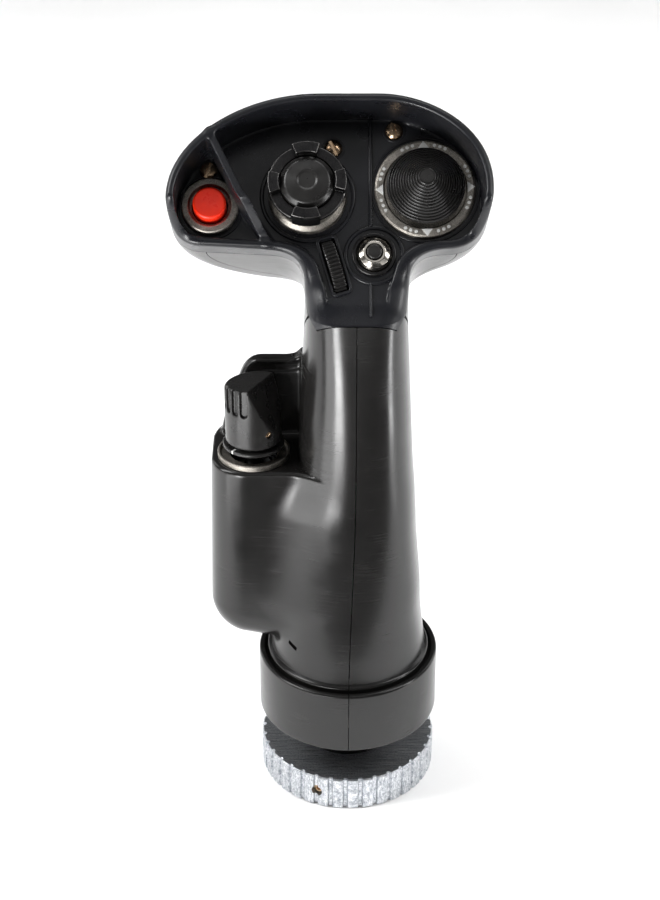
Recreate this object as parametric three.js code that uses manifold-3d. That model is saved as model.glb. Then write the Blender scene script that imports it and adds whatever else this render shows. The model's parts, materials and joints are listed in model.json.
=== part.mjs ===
// A flight joystick grip standing on its locking ring, as an assembly of separate parts.
// Millimetres, +Z up. The pilot sits on the -Y side, so the control panel faces -Y and up.
// The origin is the centre of the connector face, in the plane that the ring stands on.

import * as THREE from 'three';
import { mergeVertices } from 'three/addons/utils/BufferGeometryUtils.js';
import Module from 'manifold-3d';

const wasm = await Module();
wasm.setup();

// ---------------------------------------------------------------- driving dimensions

const GAP = 0.3;            // clearance between neighbouring parts
const WALL = 2.6;           // moulded wall of the head
const GRIP_WALL = 3;        // moulded wall of the grip

// Locking ring and neck.
const RING_R = 31;
const RING_H = 13;
const RING_FLUTES = 36;
const NECK_R = 15.5;
const NECK_BORE_R = 12.9;
const NECK_FLANGE_R = 17.4;
const NECK_FLANGE_H = 3;
const SHOULDER_R = 23.6;
const SHOULDER_Z = 30.6;
const SHOULDER_H = 4.4;

// Collar at the foot of the grip.
const COLLAR_R = 31.5;
const COLLAR_BOTTOM = 26.4;
const COLLAR_TOP = 50.5;
const COLLAR_FLOOR = 3.9;
const COLLAR_CAVITY_R = 24;

// Control head. Its own frame has x to the right, y up the panel and z out of the panel.
const HEAD_ORIGIN = new THREE.Vector3(2.09, -16, 184.6);
const HEAD_TILT = THREE.MathUtils.degToRad(48.5);
const HOOD_H = 18;          // height of the hood above the panel
const LIP_H = 3.2;          // height of the lip along the wings
const PANEL_T = 2.5;
const PARTING = -5;         // plane where the bezel meets the rear shell
const SIDE_SEAM = 5;        // height of the seam between grip and head behind that plane
const DOME_DEPTH = 33;      // depth of the rear shell behind the parting plane
const WING_BOTTOM = 25;     // height of the wing undersides above the head's foot
const DOME_CENTRE_X = -8;

// Controls on the panel: [x, y] in the head's frame.
const RED_AT = [-46.6, 39];
const CASTLE_AT = [-15.6, 42.7];
const TRIM_AT = [21.8, 44.9];
const SMALL_AT = [5.5, 23.3];
const WHEEL_AT = [-7.15, 19.8];
const WHEEL_TURN = THREE.MathUtils.degToRad(16.4);
const WHEEL_R = 11.5;
const WHEEL_DEPTH = 7.9;
const WHEEL_W = 4;
const FACE_SCREWS = [[-47.2, 51.2], [-7.5, 58.7], [12, 64.5]];

// Four-way switches: all of them turn on the same gimbal.
const GIMBAL_R = 5.8;
const GIMBAL_BORE_R = 3.6;
const GIMBAL_H = 2;
const STEM_R = 2.6;
const PIVOT_DEPTH = 4.5;    // depth of the gimbal's pivot below the surface
const SWITCH_R = 9;

// Pod on the left of the grip, with the select knob on top and a wall behind it.
const POD_TOP = 130;
const POD_BACK = -15.1;
const POD_FRONT = 22;
const KNOB_AT = [-31.8, -2.3];
const KNOB_R = 9.3;
const KNOB_BOTTOM = 136.4;
const KNOB_TOP = 158.5;
const KNOB_SKIRT_R = 10.2;
const KNOB_BASE_R = 12.1;
const KNOB_BASE_TOP = 132.1;
const KNOB_SCREW_Z = 141.5;

// Levers and the button on the far side of the grip.
const SEAM_X = 2.1;
const TRIGGER_PIVOT = [24, 163];
const TRIGGER_W = 9.6;
const PADDLE_PIVOT = [21, 107];
const PADDLE_W = 9;
const PIN_R = 1.5;
const LOWER_BUTTON_Z = 122.5;

// ---------------------------------------------------------------- materials

function finish(color, roughness, metalness) {
  return new THREE.MeshStandardMaterial({ color, roughness, metalness });
}

const GRIP_PLASTIC = finish(0x151617, 0.42, 0);
const HEAD_PLASTIC = finish(0x17181b, 0.5, 0);
const CONTROL_PLASTIC = finish(0x101011, 0.35, 0);
const ALUMINIUM = finish(0xc9c9c6, 0.32, 1);
const BLASTED_METAL = finish(0x77716a, 0.55, 1);
const GUNMETAL = finish(0x4c4a49, 0.4, 1);
const NICKEL = finish(0xb9b4ab, 0.2, 1);
const BRASS = finish(0xa8854a, 0.35, 1);
const STEEL = finish(0x8d8f92, 0.35, 1);
const RED_PLASTIC = finish(0xc8281e, 0.4, 0);
const SWITCH_PLASTIC = finish(0x2a2b2e, 0.5, 0);
const BOARD = finish(0x1d5a38, 0.5, 0);
const WIRE_SLEEVE = finish(0x202022, 0.7, 0);

// ---------------------------------------------------------------- solids

// A closed geometry as a solid that can be joined and cut.
function toSolid(geometry) {
  const bare = geometry.clone();
  for (const name of Object.keys(bare.attributes)) {
    if (name !== 'position') bare.deleteAttribute(name);
  }
  const welded = mergeVertices(bare, 1e-4);
  const points = welded.attributes.position.array;
  const faces = [];
  let volume = 0;
  for (let i = 0; i < welded.index.count; i += 3) {
    const [a, b, c] = [0, 1, 2].map((k) => welded.index.getX(i + k));
    if (a === b || b === c || a === c) continue;
    faces.push([a, b, c]);
    const [p, q, r] = [a, b, c].map((k) => new THREE.Vector3().fromArray(points, 3 * k));
    volume += p.dot(q.cross(r));
  }
  if (volume < 0) faces.forEach((face) => face.reverse());
  return new wasm.Manifold(new wasm.Mesh({
    numProp: 3,
    vertProperties: new Float32Array(points),
    triVerts: new Uint32Array(faces.flat()),
  }));
}

function toGeometry(body) {
  const mesh = body.getMesh();
  const geometry = new THREE.BufferGeometry();
  geometry.setAttribute('position', new THREE.Float32BufferAttribute(mesh.vertProperties, 3));
  geometry.setIndex(Array.from(mesh.triVerts));
  geometry.computeVertexNormals();
  return geometry;
}

function join(...bodies) {
  return bodies.reduce((sum, body) => sum.add(body));
}

function cut(body, ...tools) {
  return tools.reduce((rest, tool) => rest.subtract(tool), body);
}

// A box between two corners.
function block(low, high) {
  const size = high.map((value, i) => value - low[i]);
  const geometry = new THREE.BoxGeometry(...size);
  geometry.translate(...low.map((value, i) => value + size[i] / 2));
  return toSolid(geometry);
}

// A round bar along Z.
function rod(radius, bottom, top, x = 0, y = 0, sides = 24) {
  const geometry = new THREE.CylinderGeometry(radius, radius, top - bottom, sides);
  geometry.rotateX(Math.PI / 2);
  geometry.translate(x, y, (bottom + top) / 2);
  return toSolid(geometry);
}

// A round bar along X, through (y, z).
function crossRod(radius, left, right, y, z, sides = 16) {
  const geometry = new THREE.CylinderGeometry(radius, radius, right - left, sides);
  geometry.rotateZ(Math.PI / 2);
  geometry.translate((left + right) / 2, y, z);
  return toSolid(geometry);
}

// A solid of revolution about Z, from [radius, height] points that start and end on the axis
// or come back to the first point.
function turned(profile, sides = 20) {
  const points = profile.map(([radius, height]) => new THREE.Vector2(radius, height));
  return toSolid(new THREE.LatheGeometry(points, sides).rotateX(Math.PI / 2));
}

// A flat ring of rectangular section about Z.
function annulus(inner, outer, bottom, top, sides = 20) {
  const corners = [[inner, bottom], [outer, bottom], [outer, top], [inner, top], [inner, bottom]];
  return turned(corners, sides);
}

function outline(points) {
  return new THREE.Shape(points.map(([u, v]) => new THREE.Vector2(u, v)));
}

// An outline pushed along an axis. Its two coordinates are x and y along Z, x and z along Y,
// and y and z along X.
function extruded(shape, axis, from, to, curveSegments = 8) {
  const depth = to - from;
  const geometry = new THREE.ExtrudeGeometry(shape, { depth, bevelEnabled: false, curveSegments });
  if (axis === 'z') geometry.translate(0, 0, from);
  if (axis === 'y') geometry.rotateX(Math.PI / 2).translate(0, to, 0);
  if (axis === 'x') geometry.rotateX(Math.PI / 2).rotateZ(Math.PI / 2).translate(from, 0, 0);
  return toSolid(geometry);
}

// A skin over rings of equally many points, closed by a fan at each end.
function lofted(rings) {
  const count = rings[0].length;
  const vertices = rings.flat();
  const faces = [];
  for (let i = 0; i + 1 < rings.length; i += 1) {
    for (let j = 0; j < count; j += 1) {
      const next = (j + 1) % count;
      const [a, b] = [i * count + j, i * count + next];
      faces.push([a, b, b + count], [a, b + count, a + count]);
    }
  }
  for (const end of [0, rings.length - 1]) {
    const centre = new THREE.Vector3();
    rings[end].forEach((point) => centre.addScaledVector(point, 1 / count));
    vertices.push(centre);
    for (let j = 0; j < count; j += 1) {
      const [a, b] = [end * count + j, end * count + (j + 1) % count];
      faces.push(end === 0 ? [b, a, vertices.length - 1] : [a, b, vertices.length - 1]);
    }
  }
  const geometry = new THREE.BufferGeometry().setFromPoints(vertices);
  geometry.setIndex(faces.flat());
  return toSolid(geometry);
}

// A round bar bent along a smooth curve through the points.
function bentRod(points, radius, steps, sides = 8) {
  const curve = new THREE.CatmullRomCurve3(points.map((p) => new THREE.Vector3(...p)));
  const section = new THREE.Shape();
  for (let i = 0; i < sides; i += 1) {
    const angle = 2 * Math.PI * i / sides;
    const at = [radius * Math.cos(angle), radius * Math.sin(angle)];
    if (i === 0) section.moveTo(...at);
    else section.lineTo(...at);
  }
  return toSolid(new THREE.ExtrudeGeometry(section, { steps, extrudePath: curve }));
}

// ---------------------------------------------------------------- assembly

const joystick = new THREE.Group();
const head = new THREE.Group();
head.position.copy(HEAD_ORIGIN);
head.rotation.x = HEAD_TILT;
head.updateMatrix();
joystick.add(head);

const HEAD_FRAME = head.matrix.clone();
const WORLD_IN_HEAD = HEAD_FRAME.clone().invert();

function moved(body, matrix) {
  return toSolid(toGeometry(body).applyMatrix4(matrix));
}

function place(name, body, material, parent = joystick) {
  const mesh = new THREE.Mesh(toGeometry(body), material);
  mesh.name = name;
  parent.add(mesh);
  return mesh;
}

function placeOnPanel(name, body, material, at) {
  place(name, body, material, head).position.set(at[0], at[1], 0);
}

// ---------------------------------------------------------------- grip core

// The grip and the stem of the head are one swept form. Each section spans from a point on the
// pilot's side to a point on the far side, [y, z] each, with half its width and its roundness:
// 2 is an ellipse, and more is squarer.
const CORE_SECTIONS = [
  { near: [-28, 46], far: [28, 46], half: 28, power: 2 },
  { near: [-27.1, 53], far: [27.1, 53], half: 27, power: 2 },
  { near: [-26.3, 64], far: [26.3, 64], half: 25.6, power: 2.1 },
  { near: [-25, 82], far: [25.2, 82], half: 23.5, power: 2.3 },
  { near: [-24, 102], far: [24.2, 102], half: 21.5, power: 2.3 },
  { near: [-22.4, 126], far: [23, 124], half: 19.6, power: 2.3 },
  { near: [-20.4, 148], far: [22.6, 138], half: 18.2, power: 2.3 },
  { near: [-18.4, 165], far: [23, 146], half: 17.4, power: 2.4 },
  { near: [-16, 184.6], far: [23.7, 149.5], half: 16.9, power: 2.6 },
  { near: [-8, 193.6], far: [26.4, 163.1], half: 16.7, power: 2.8 },
  { near: [-2.1, 200.3], far: [27.9, 173.8], half: 16.6, power: 3 },
  { near: [3.9, 207.1], far: [28.6, 185.2], half: 16.6, power: 3 },
];

// The centre line leans to the right from the collar up to the head.
function seamX(z) {
  const lean = THREE.MathUtils.smoothstep(z, 40, 130);
  return SEAM_X * lean;
}

function coreRing({ near, far, half, power }, inset, sides) {
  const start = new THREE.Vector2(...near);
  const end = new THREE.Vector2(...far);
  const middle = start.clone().lerp(end, 0.5);
  const reach = end.clone().sub(start).multiplyScalar(0.5);
  reach.setLength(reach.length() - inset);
  const rounded = (value) => Math.sign(value) * Math.abs(value) ** (2 / power);
  const ring = [];
  for (let i = 0; i < sides; i += 1) {
    const angle = 2 * Math.PI * i / sides;
    const across = rounded(Math.cos(angle)) * (half - inset);
    const along = middle.clone().addScaledVector(reach, rounded(Math.sin(angle)));
    ring.push(new THREE.Vector3(seamX(middle.y) + across, along.x, along.y));
  }
  return ring;
}

const coreOuter = lofted(CORE_SECTIONS.map((section) => coreRing(section, 0, 32)));
const coreInner = lofted(CORE_SECTIONS.filter((_, i) => i % 2 === 1 || i === 0)
  .map((section) => coreRing(section, GRIP_WALL, 20)));

// ---------------------------------------------------------------- pod

// The pod's left edge and depth at each height, which round off its lower corner.
const POD_SECTIONS = [
  { z: 57, left: -22, trim: 10 },
  { z: 59, left: -27, trim: 6.5 },
  { z: 63, left: -35, trim: 3 },
  { z: 69, left: -42.5, trim: 0.8 },
  { z: 77, left: -47, trim: 0 },
  { z: POD_TOP, left: -46, trim: 0 },
];

// A rectangle in plan, with round corners on its left side.
function podRing({ z, left, trim }, inset, steps) {
  const [low, high] = [POD_BACK + trim + inset, POD_FRONT - trim - inset];
  const edge = left + inset;
  const radius = Math.min(12 - inset, (high - low) / 2 - 0.5);
  const ring = [new THREE.Vector3(-4, low, z), new THREE.Vector3(-4, high, z)];
  for (const [centreY, start] of [[high - radius, 0.5], [low + radius, 1]]) {
    for (let i = 0; i <= steps; i += 1) {
      const angle = Math.PI * (start + 0.5 * i / steps);
      const x = edge + radius + radius * Math.cos(angle);
      ring.push(new THREE.Vector3(x, centreY + radius * Math.sin(angle), z));
    }
  }
  return ring.reverse();
}

function podBody(inset, steps) {
  const rings = POD_SECTIONS.map((section) => podRing(section, inset, steps));
  const [bottom, top] = [rings[0], rings[rings.length - 1]];
  bottom.forEach((point) => { point.z += inset; });
  top.forEach((point) => { point.z -= inset; });
  return lofted(rings);
}

// The wall behind the knob, with a round upper corner that guards the thumb.
const wallShape = new THREE.Shape();
wallShape.moveTo(-4, POD_TOP - 4);
wallShape.lineTo(-44, POD_TOP - 4);
wallShape.lineTo(-36.4, 152);
wallShape.quadraticCurveTo(-34.2, 158.8, -29, 158.8);
wallShape.lineTo(-19, 158.8);
wallShape.lineTo(-16.5, 160.4);
wallShape.lineTo(-4, 160.4);
const guardWall = extruded(wallShape, 'y', 11.5, 15.5);

// ---------------------------------------------------------------- grip shells

const collarOuter = turned([
  [0, COLLAR_BOTTOM], [COLLAR_R - 1, COLLAR_BOTTOM], [COLLAR_R, COLLAR_BOTTOM + 1],
  [COLLAR_R, COLLAR_TOP - 1.6], [COLLAR_R - 1, COLLAR_TOP], [28.9, COLLAR_TOP],
  [28.4, COLLAR_TOP - 1.6], [0, COLLAR_TOP - 1.6],
], 40);
const collarInner = turned([
  [0, COLLAR_BOTTOM - 1], [NECK_R + 0.4, COLLAR_BOTTOM - 1],
  [NECK_R + 0.4, COLLAR_BOTTOM + COLLAR_FLOOR], [COLLAR_CAVITY_R, COLLAR_BOTTOM + COLLAR_FLOOR],
  [COLLAR_CAVITY_R, COLLAR_TOP + 2], [0, COLLAR_TOP + 2],
]);

const SHELL_SCREWS = [
  { y: 14, z: 64, surface: 23.4 },
  { y: 8, z: 78, surface: 24 },
  { y: 8, z: 142, surface: 18.6 },
];
const SCREW_R = 1.5;
const SCREW_HEAD_R = 3;
const SCREW_END = -9;

const gripOuter = join(coreOuter, podBody(0, 6), collarOuter, guardWall);
const gripInner = join(coreInner, podBody(GRIP_WALL, 3), collarInner);

const screwBosses = SHELL_SCREWS.map(({ y, z }) => crossRod(4.2, -50, 30, y, z));
const paddleBoss = block([-7.6, 15, 99.6], [11.4, 32, 114.6]);
const shellBosses = join(...screwBosses, paddleBoss).intersect(gripOuter);

const screwHoles = SHELL_SCREWS.flatMap(({ y, z, surface }) => [
  crossRod(SCREW_R + GAP, SCREW_END - 1, 40, y, z),
  crossRod(SCREW_HEAD_R + GAP, surface - 3, 40, y, z),
]);
const paddleSlot = block([SEAM_X - 4.9, 12, 100.4], [SEAM_X + 4.9, 40, 112.4]);
const paddlePinHole = crossRod(PIN_R + 0.25, SEAM_X - 8.4, SEAM_X + 8.4, ...PADDLE_PIVOT);
const knobHole = rod(7.6, 120, 140, ...KNOB_AT);
const lowerButtonHole = toSolid(
  new THREE.CylinderGeometry(6.9, 6.9, 20, 24).translate(SEAM_X, 24, LOWER_BUTTON_Z),
);

// The grip ends at the head's foot, and a step higher behind the parting plane.
const belowHead = moved(join(
  block([-150, -300, -200], [150, -GAP / 2, 200]),
  block([-150, -300, -200], [150, SIDE_SEAM - GAP / 2, PARTING - GAP / 2]),
), HEAD_FRAME);
const gripShells = cut(
  join(cut(gripOuter, gripInner), shellBosses),
  ...screwHoles, paddleSlot, paddlePinHole, knobHole, lowerButtonHole,
).intersect(belowHead);

// The grip splits into halves along a seam that follows its lean.
const SEAM_HEIGHTS = [20, 40, 62, 85, 108, 130, 220];

function seamSide(side) {
  const edge = [];
  for (const z of SEAM_HEIGHTS) {
    edge.push([seamX(z) + side * GAP / 2, z]);
  }
  return extruded(outline([...edge, [side * 120, 220], [side * 120, 20]]), 'y', -80, 80);
}

place('left_grip_shell', gripShells.intersect(seamSide(-1)), GRIP_PLASTIC);
place('right_grip_shell', gripShells.intersect(seamSide(1)), GRIP_PLASTIC);

SHELL_SCREWS.forEach(({ y, z, surface }, i) => {
  const shank = crossRod(SCREW_R, SCREW_END, surface - 1, y, z, 12);
  const screwHead = crossRod(SCREW_HEAD_R - 0.2, surface - 2.7, surface - 0.8, y, z);
  const drive = block([surface - 1.9, y - 0.4, z - 5], [surface + 5, y + 0.4, z + 5]);
  place(`shell_screw_${i + 1}`, cut(join(shank, screwHead), drive), STEEL);
});

// ---------------------------------------------------------------- neck, connector and ring

place('neck_spindle', turned([
  [NECK_BORE_R, 0], [NECK_FLANGE_R, 0], [NECK_FLANGE_R, NECK_FLANGE_H], [NECK_R, NECK_FLANGE_H],
  [NECK_R, SHOULDER_Z], [SHOULDER_R, SHOULDER_Z], [SHOULDER_R, SHOULDER_Z + SHOULDER_H],
  [NECK_R, SHOULDER_Z + SHOULDER_H], [NECK_R, 44], [NECK_BORE_R, 44], [NECK_BORE_R, 0],
]), GUNMETAL);

const PIN_CIRCLE_R = 7;
const PIN_COUNT = 5;
const PIN_HOLE_R = 1.4;
const contactPins = [];
for (let i = 0; i < PIN_COUNT; i += 1) {
  const angle = 2 * Math.PI * (i + 0.25) / PIN_COUNT;
  contactPins.push([PIN_CIRCLE_R * Math.cos(angle), PIN_CIRCLE_R * Math.sin(angle)]);
}
const pinHoles = contactPins.map(([x, y]) => rod(PIN_HOLE_R, -1, 10, x, y, 12));
const insertBody = rod(NECK_BORE_R - GAP, 0, 9);
place('connector_insert', cut(insertBody, ...pinHoles), SWITCH_PLASTIC);
contactPins.forEach(([x, y], i) => {
  place(`connector_pin_${i + 1}`, rod(PIN_HOLE_R - GAP, 0.6, 12, x, y, 10), BRASS);
});

// The ring's outer edge carries narrow vertical grooves between flat lands.
const GROOVE_DEPTH = 0.9;
const ringShape = new THREE.Shape();
for (let i = 0; i < RING_FLUTES; i += 1) {
  const marks = [[0, RING_R], [0.38, RING_R], [0.76, RING_R], [0.88, RING_R - GROOVE_DEPTH]];
  for (const [step, radius] of marks) {
    const angle = 2 * Math.PI * (i + step) / RING_FLUTES;
    const at = [radius * Math.cos(angle), radius * Math.sin(angle)];
    if (i === 0 && step === 0) ringShape.moveTo(...at);
    else ringShape.lineTo(...at);
  }
}
const WASHER_TOP = NECK_FLANGE_H + GAP + 1.2;
const ringBore = turned([
  [0, -1], [NECK_FLANGE_R + 0.8, -1], [NECK_FLANGE_R + 0.8, WASHER_TOP + GAP],
  [NECK_R + 0.4, WASHER_TOP + GAP], [NECK_R + 0.4, RING_H + 1], [0, RING_H + 1],
]);
const SET_SCREW_TURN = THREE.MathUtils.degToRad(-111);
const SET_SCREW_Z = 6.5;

// A bar that lies along the ring's radius at the set screw.
function radialRod(radius, inner, outer) {
  const geometry = new THREE.CylinderGeometry(radius, radius, outer - inner, 12);
  geometry.rotateZ(Math.PI / 2).translate((inner + outer) / 2, 0, SET_SCREW_Z);
  return toSolid(geometry.rotateZ(SET_SCREW_TURN));
}

const ringBody = cut(extruded(ringShape, 'z', 0, RING_H), ringBore);
place('locking_ring', cut(ringBody, radialRod(2, 22, 40)), ALUMINIUM);
place('ring_set_screw', radialRod(1.7, 22.4, 29.4), BRASS);
place('ring_slip_washer', annulus(
  NECK_R + GAP, NECK_FLANGE_R, NECK_FLANGE_H + GAP, WASHER_TOP,
), NICKEL);

// ---------------------------------------------------------------- head shells

// The head's outline above the wing undersides, seen square to the panel.
function headOutline(inset) {
  const shape = new THREE.Shape();
  const [left, right, top] = [-59.5 + inset, 42.4 - inset, 71 - inset];
  const bottom = WING_BOTTOM + inset;
  shape.moveTo(-27, bottom - 0.2);
  shape.lineTo(-50, bottom + 1);
  shape.bezierCurveTo(-56 + inset, bottom + 1.6, left, bottom + 6, left, 37);
  shape.bezierCurveTo(left, 56 - inset / 2, -36, top, -11.6, top);
  shape.lineTo(7.1, top);
  shape.bezierCurveTo(21, top, right, 61.5 - inset / 2, right, 40.6);
  shape.bezierCurveTo(right, bottom + 6, 37, bottom + 0.2, 29, bottom);
  return shape;
}

const PROFILE_STEPS = 6;
const aboveProfile = new THREE.Shape();
aboveProfile.moveTo(-30, LIP_H);
aboveProfile.lineTo(27.5, LIP_H);
aboveProfile.bezierCurveTo(31.5, LIP_H + 0.5, 33.5, 12, 37.5, HOOD_H);
aboveProfile.lineTo(90, HOOD_H);
aboveProfile.lineTo(90, 60);
aboveProfile.lineTo(-30, 60);
const hoodTrim = extruded(aboveProfile, 'x', -90, 90, PROFILE_STEPS);

// The divider between the red button and the castle switch follows a bent line.
const finShape = outline([
  [-47.3, 59.2], [-38.1, 39], [-29.4, 26.2], [-27.2, 27.6], [-35.9, 40], [-45, 60.3],
]);
const fin = extruded(finShape, 'z', -1, HOOD_H + 1);
const centreRidge = block([3.8, 31.2, -1], [5, 69.5, 1.4]);
const lowerRib = block([3.8, 3.4, -1], [5, 15.6, 0.9]);

const stemInHead = moved(coreOuter, WORLD_IN_HEAD);
const stemCavity = moved(coreInner, WORLD_IN_HEAD);
const aboveFoot = block([-80, GAP / 2, -80], [80, 120, 60]);
const bezelSide = block([-90, -20, PARTING + GAP / 2], [90, 120, 60]);
const rearSide = block([-90, -20, -90], [90, 120, PARTING - GAP / 2]);

const hoodBlock = extruded(headOutline(0), 'z', PARTING, HOOD_H + 2, PROFILE_STEPS);
const pocket = extruded(headOutline(WALL), 'z', 0, HOOD_H + 4, PROFILE_STEPS);
const stemOpening = block([-17.4, -10, 0], [17, 32, 40]);
const backPocket = extruded(headOutline(WALL), 'z', PARTING - 1, -PANEL_T, 3);
const stemBack = stemCavity.intersect(block([-90, -20, -90], [90, 120, -PANEL_T]));

// Lugs under the panel carry the thumbwheel's axle.
function onWheel(geometry) {
  geometry.rotateZ(WHEEL_TURN);
  geometry.translate(WHEEL_AT[0], WHEEL_AT[1], -WHEEL_DEPTH);
  return toSolid(geometry);
}

const wheelLugs = [-1, 1].map((side) => onWheel(
  new THREE.BoxGeometry(2.4, 6, WHEEL_DEPTH + 1).translate(side * 3.7, 0, 1.9),
));
const wheelRoom = onWheel(
  new THREE.CylinderGeometry(WHEEL_R + 0.5, WHEEL_R + 0.5, WHEEL_W + 0.8, 32).rotateZ(Math.PI / 2),
);
const lugRoom = onWheel(new THREE.BoxGeometry(10.6, 6.8, WHEEL_DEPTH + 1.8).translate(0, 0, 1.9));
const axleHole = onWheel(new THREE.CylinderGeometry(1.45, 1.45, 12, 16).rotateZ(Math.PI / 2));

const panelHoles = [
  rod(7.5, -4, 2, ...RED_AT),
  rod(7, -4, 2, ...CASTLE_AT),
  rod(7, -4, 2, ...TRIM_AT),
  rod(5.4, -8, 2, ...SMALL_AT),
  ...FACE_SCREWS.map((at) => rod(SCREW_R + GAP, -4, 2, ...at, 16)),
];

const redBezelRoom = rod(9.45, 0.01, 4, ...RED_AT);

const hood = cut(join(cut(hoodBlock, pocket), fin), hoodTrim, stemOpening);
const panel = join(
  extruded(headOutline(1), 'z', PARTING, 0, PROFILE_STEPS),
  stemInHead.intersect(block([-90, -20, -90], [90, 120, 0])),
);
const bezel = cut(
  join(
    cut(join(hood, panel), backPocket, stemBack).intersect(bezelSide).intersect(aboveFoot),
    centreRidge, lowerRib, ...wheelLugs,
  ),
  wheelRoom, axleHole, redBezelRoom, ...panelHoles,
);

// Rings of the head's outline, shrinking towards the back as a dome with a flat underside.
function domeBody(inset, steps, turns) {
  const plan = headOutline(inset).getPoints(steps);
  if (THREE.ShapeUtils.isClockWise(plan)) plan.reverse();
  const depth = DOME_DEPTH - inset;
  const base = WING_BOTTOM + inset;
  return lofted(turns.map((degrees) => {
    const angle = THREE.MathUtils.degToRad(degrees);
    const across = Math.cos(angle);
    const upward = 0.3 + 0.7 * across;
    return plan.map(({ x, y }) => new THREE.Vector3(
      DOME_CENTRE_X + (x - DOME_CENTRE_X) * across,
      base + (y - base) * upward,
      PARTING - depth * Math.sin(angle),
    ));
  }).reverse());
}

const aboveSeam = block([-80, SIDE_SEAM + GAP / 2, -80], [80, 120, 60]);
const rearOuter = join(domeBody(0, 6, [0, 18, 36, 52, 67, 80]), stemInHead)
  .intersect(rearSide).intersect(aboveSeam);
const rearInner = join(domeBody(WALL, 3, [0, 30, 55, 78]), backPocket, stemCavity);

// The trigger hangs in a slot through a boss in the stem's far wall.
const triggerBoss = moved(block([-7.6, 12, 155.6], [11.8, 40, 170.6]), WORLD_IN_HEAD);
const triggerSlot = moved(block([SEAM_X - 5.2, 17.6, 154], [SEAM_X + 5.2, 60, 172]), WORLD_IN_HEAD);
const triggerPinHole = moved(
  crossRod(PIN_R + 0.25, SEAM_X - 8.4, SEAM_X + 8.4, ...TRIGGER_PIVOT), WORLD_IN_HEAD,
);
const faceBosses = FACE_SCREWS.map((at) => rod(3.6, -50, PARTING - 0.6, ...at, 16));
const faceScrewHoles = FACE_SCREWS.map((at) => rod(SCREW_R + GAP, -16, 0, ...at, 12));
const triggerBacking = triggerBoss.intersect(block([-90, -20, -90], [90, 60, -35.4]));
const rear = cut(
  join(cut(rearOuter, rearInner), join(...faceBosses, triggerBacking).intersect(rearOuter)),
  ...faceScrewHoles, triggerSlot, triggerPinHole,
);

// A cover under the wings wraps round the sides of the stem.
function coverPlan(offset) {
  const points = [[40 + offset, PARTING + 2], [-40 - offset, PARTING + 2]];
  const steps = 16;
  for (let i = 0; i <= steps; i += 1) {
    const angle = Math.PI * (1 + i / steps);
    const reach = [40 + offset, 26 + offset];
    points.push([reach[0] * Math.cos(angle), PARTING + reach[1] * Math.sin(angle)]);
  }
  const shape = outline(points.map(([x, y]) => [x + DOME_CENTRE_X, y]));
  return extruded(shape, 'y', -10, WING_BOTTOM + WALL + 0.4 + offset);
}

const coverWeb = block([-16, WING_BOTTOM, -25], [15.4, WING_BOTTOM + WALL - 0.3, -20]);
const cover = cut(
  join(rear.intersect(coverPlan(0)), coverWeb.intersect(rearOuter)), wheelRoom, lugRoom,
);
const rearShell = cut(rear, coverPlan(GAP));

place('head_front_bezel', bezel, HEAD_PLASTIC, head);
place('head_rear_shell', rearShell, GRIP_PLASTIC, head);
place('head_underside_cover', cover, GRIP_PLASTIC, head);

FACE_SCREWS.forEach((at, i) => {
  const screw = turned([
    [0, -13], [SCREW_R, -13], [SCREW_R, GAP], [2.5, GAP], [2.5, 1], [2.1, 1.5], [0, 1.7],
  ], 16);
  const drive = block([-5, -0.35, 0.9], [5, 0.35, 3]);
  placeOnPanel(`face_screw_${i + 1}`, cut(screw, drive), BRASS, at);
});

// ---------------------------------------------------------------- panel controls

const BELOW_PANEL = -PANEL_T - GAP;

// A switch can with a round cup in its top.
function switchCan(radius, cupRadius, top, cupDepth, height) {
  return turned([
    [0, top - height], [radius, top - height], [radius, top], [cupRadius, top],
    [cupRadius, top - cupDepth], [0, top - cupDepth],
  ], 20);
}

const gimbalRing = annulus(
  GIMBAL_BORE_R, GIMBAL_R, -PIVOT_DEPTH - GIMBAL_H / 2, -PIVOT_DEPTH + GIMBAL_H / 2, 20,
);
const plungerCup = turned([
  [0, -PIVOT_DEPTH - 3.7], [7.2, -PIVOT_DEPTH - 3.7], [7.2, -PIVOT_DEPTH + 1.3],
  [6.3, -PIVOT_DEPTH + 1.3], [6.3, -PIVOT_DEPTH - 2.5], [0, -PIVOT_DEPTH - 2.5],
], 20);

// Red push button.
placeOnPanel('red_button_cap', turned([
  [0, -2.5], [5.3, -2.5], [5.3, 4.9], [4.6, 5.7], [0, 6],
], 20), RED_PLASTIC, RED_AT);
placeOnPanel('red_button_bezel', turned([
  [5.7, -2.2], [7.2, -2.2], [7.2, GAP], [9.15, GAP], [9.15, 2.4], [8.4, 3.2], [7, 3.2],
  [6.6, 2.2], [5.7, 2.2], [5.7, -2.2],
]), BLASTED_METAL, RED_AT);
placeOnPanel('red_button_switch', switchCan(6.2, 5.6, BELOW_PANEL, 3.2, 8.5), SWITCH_PLASTIC, RED_AT);

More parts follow.
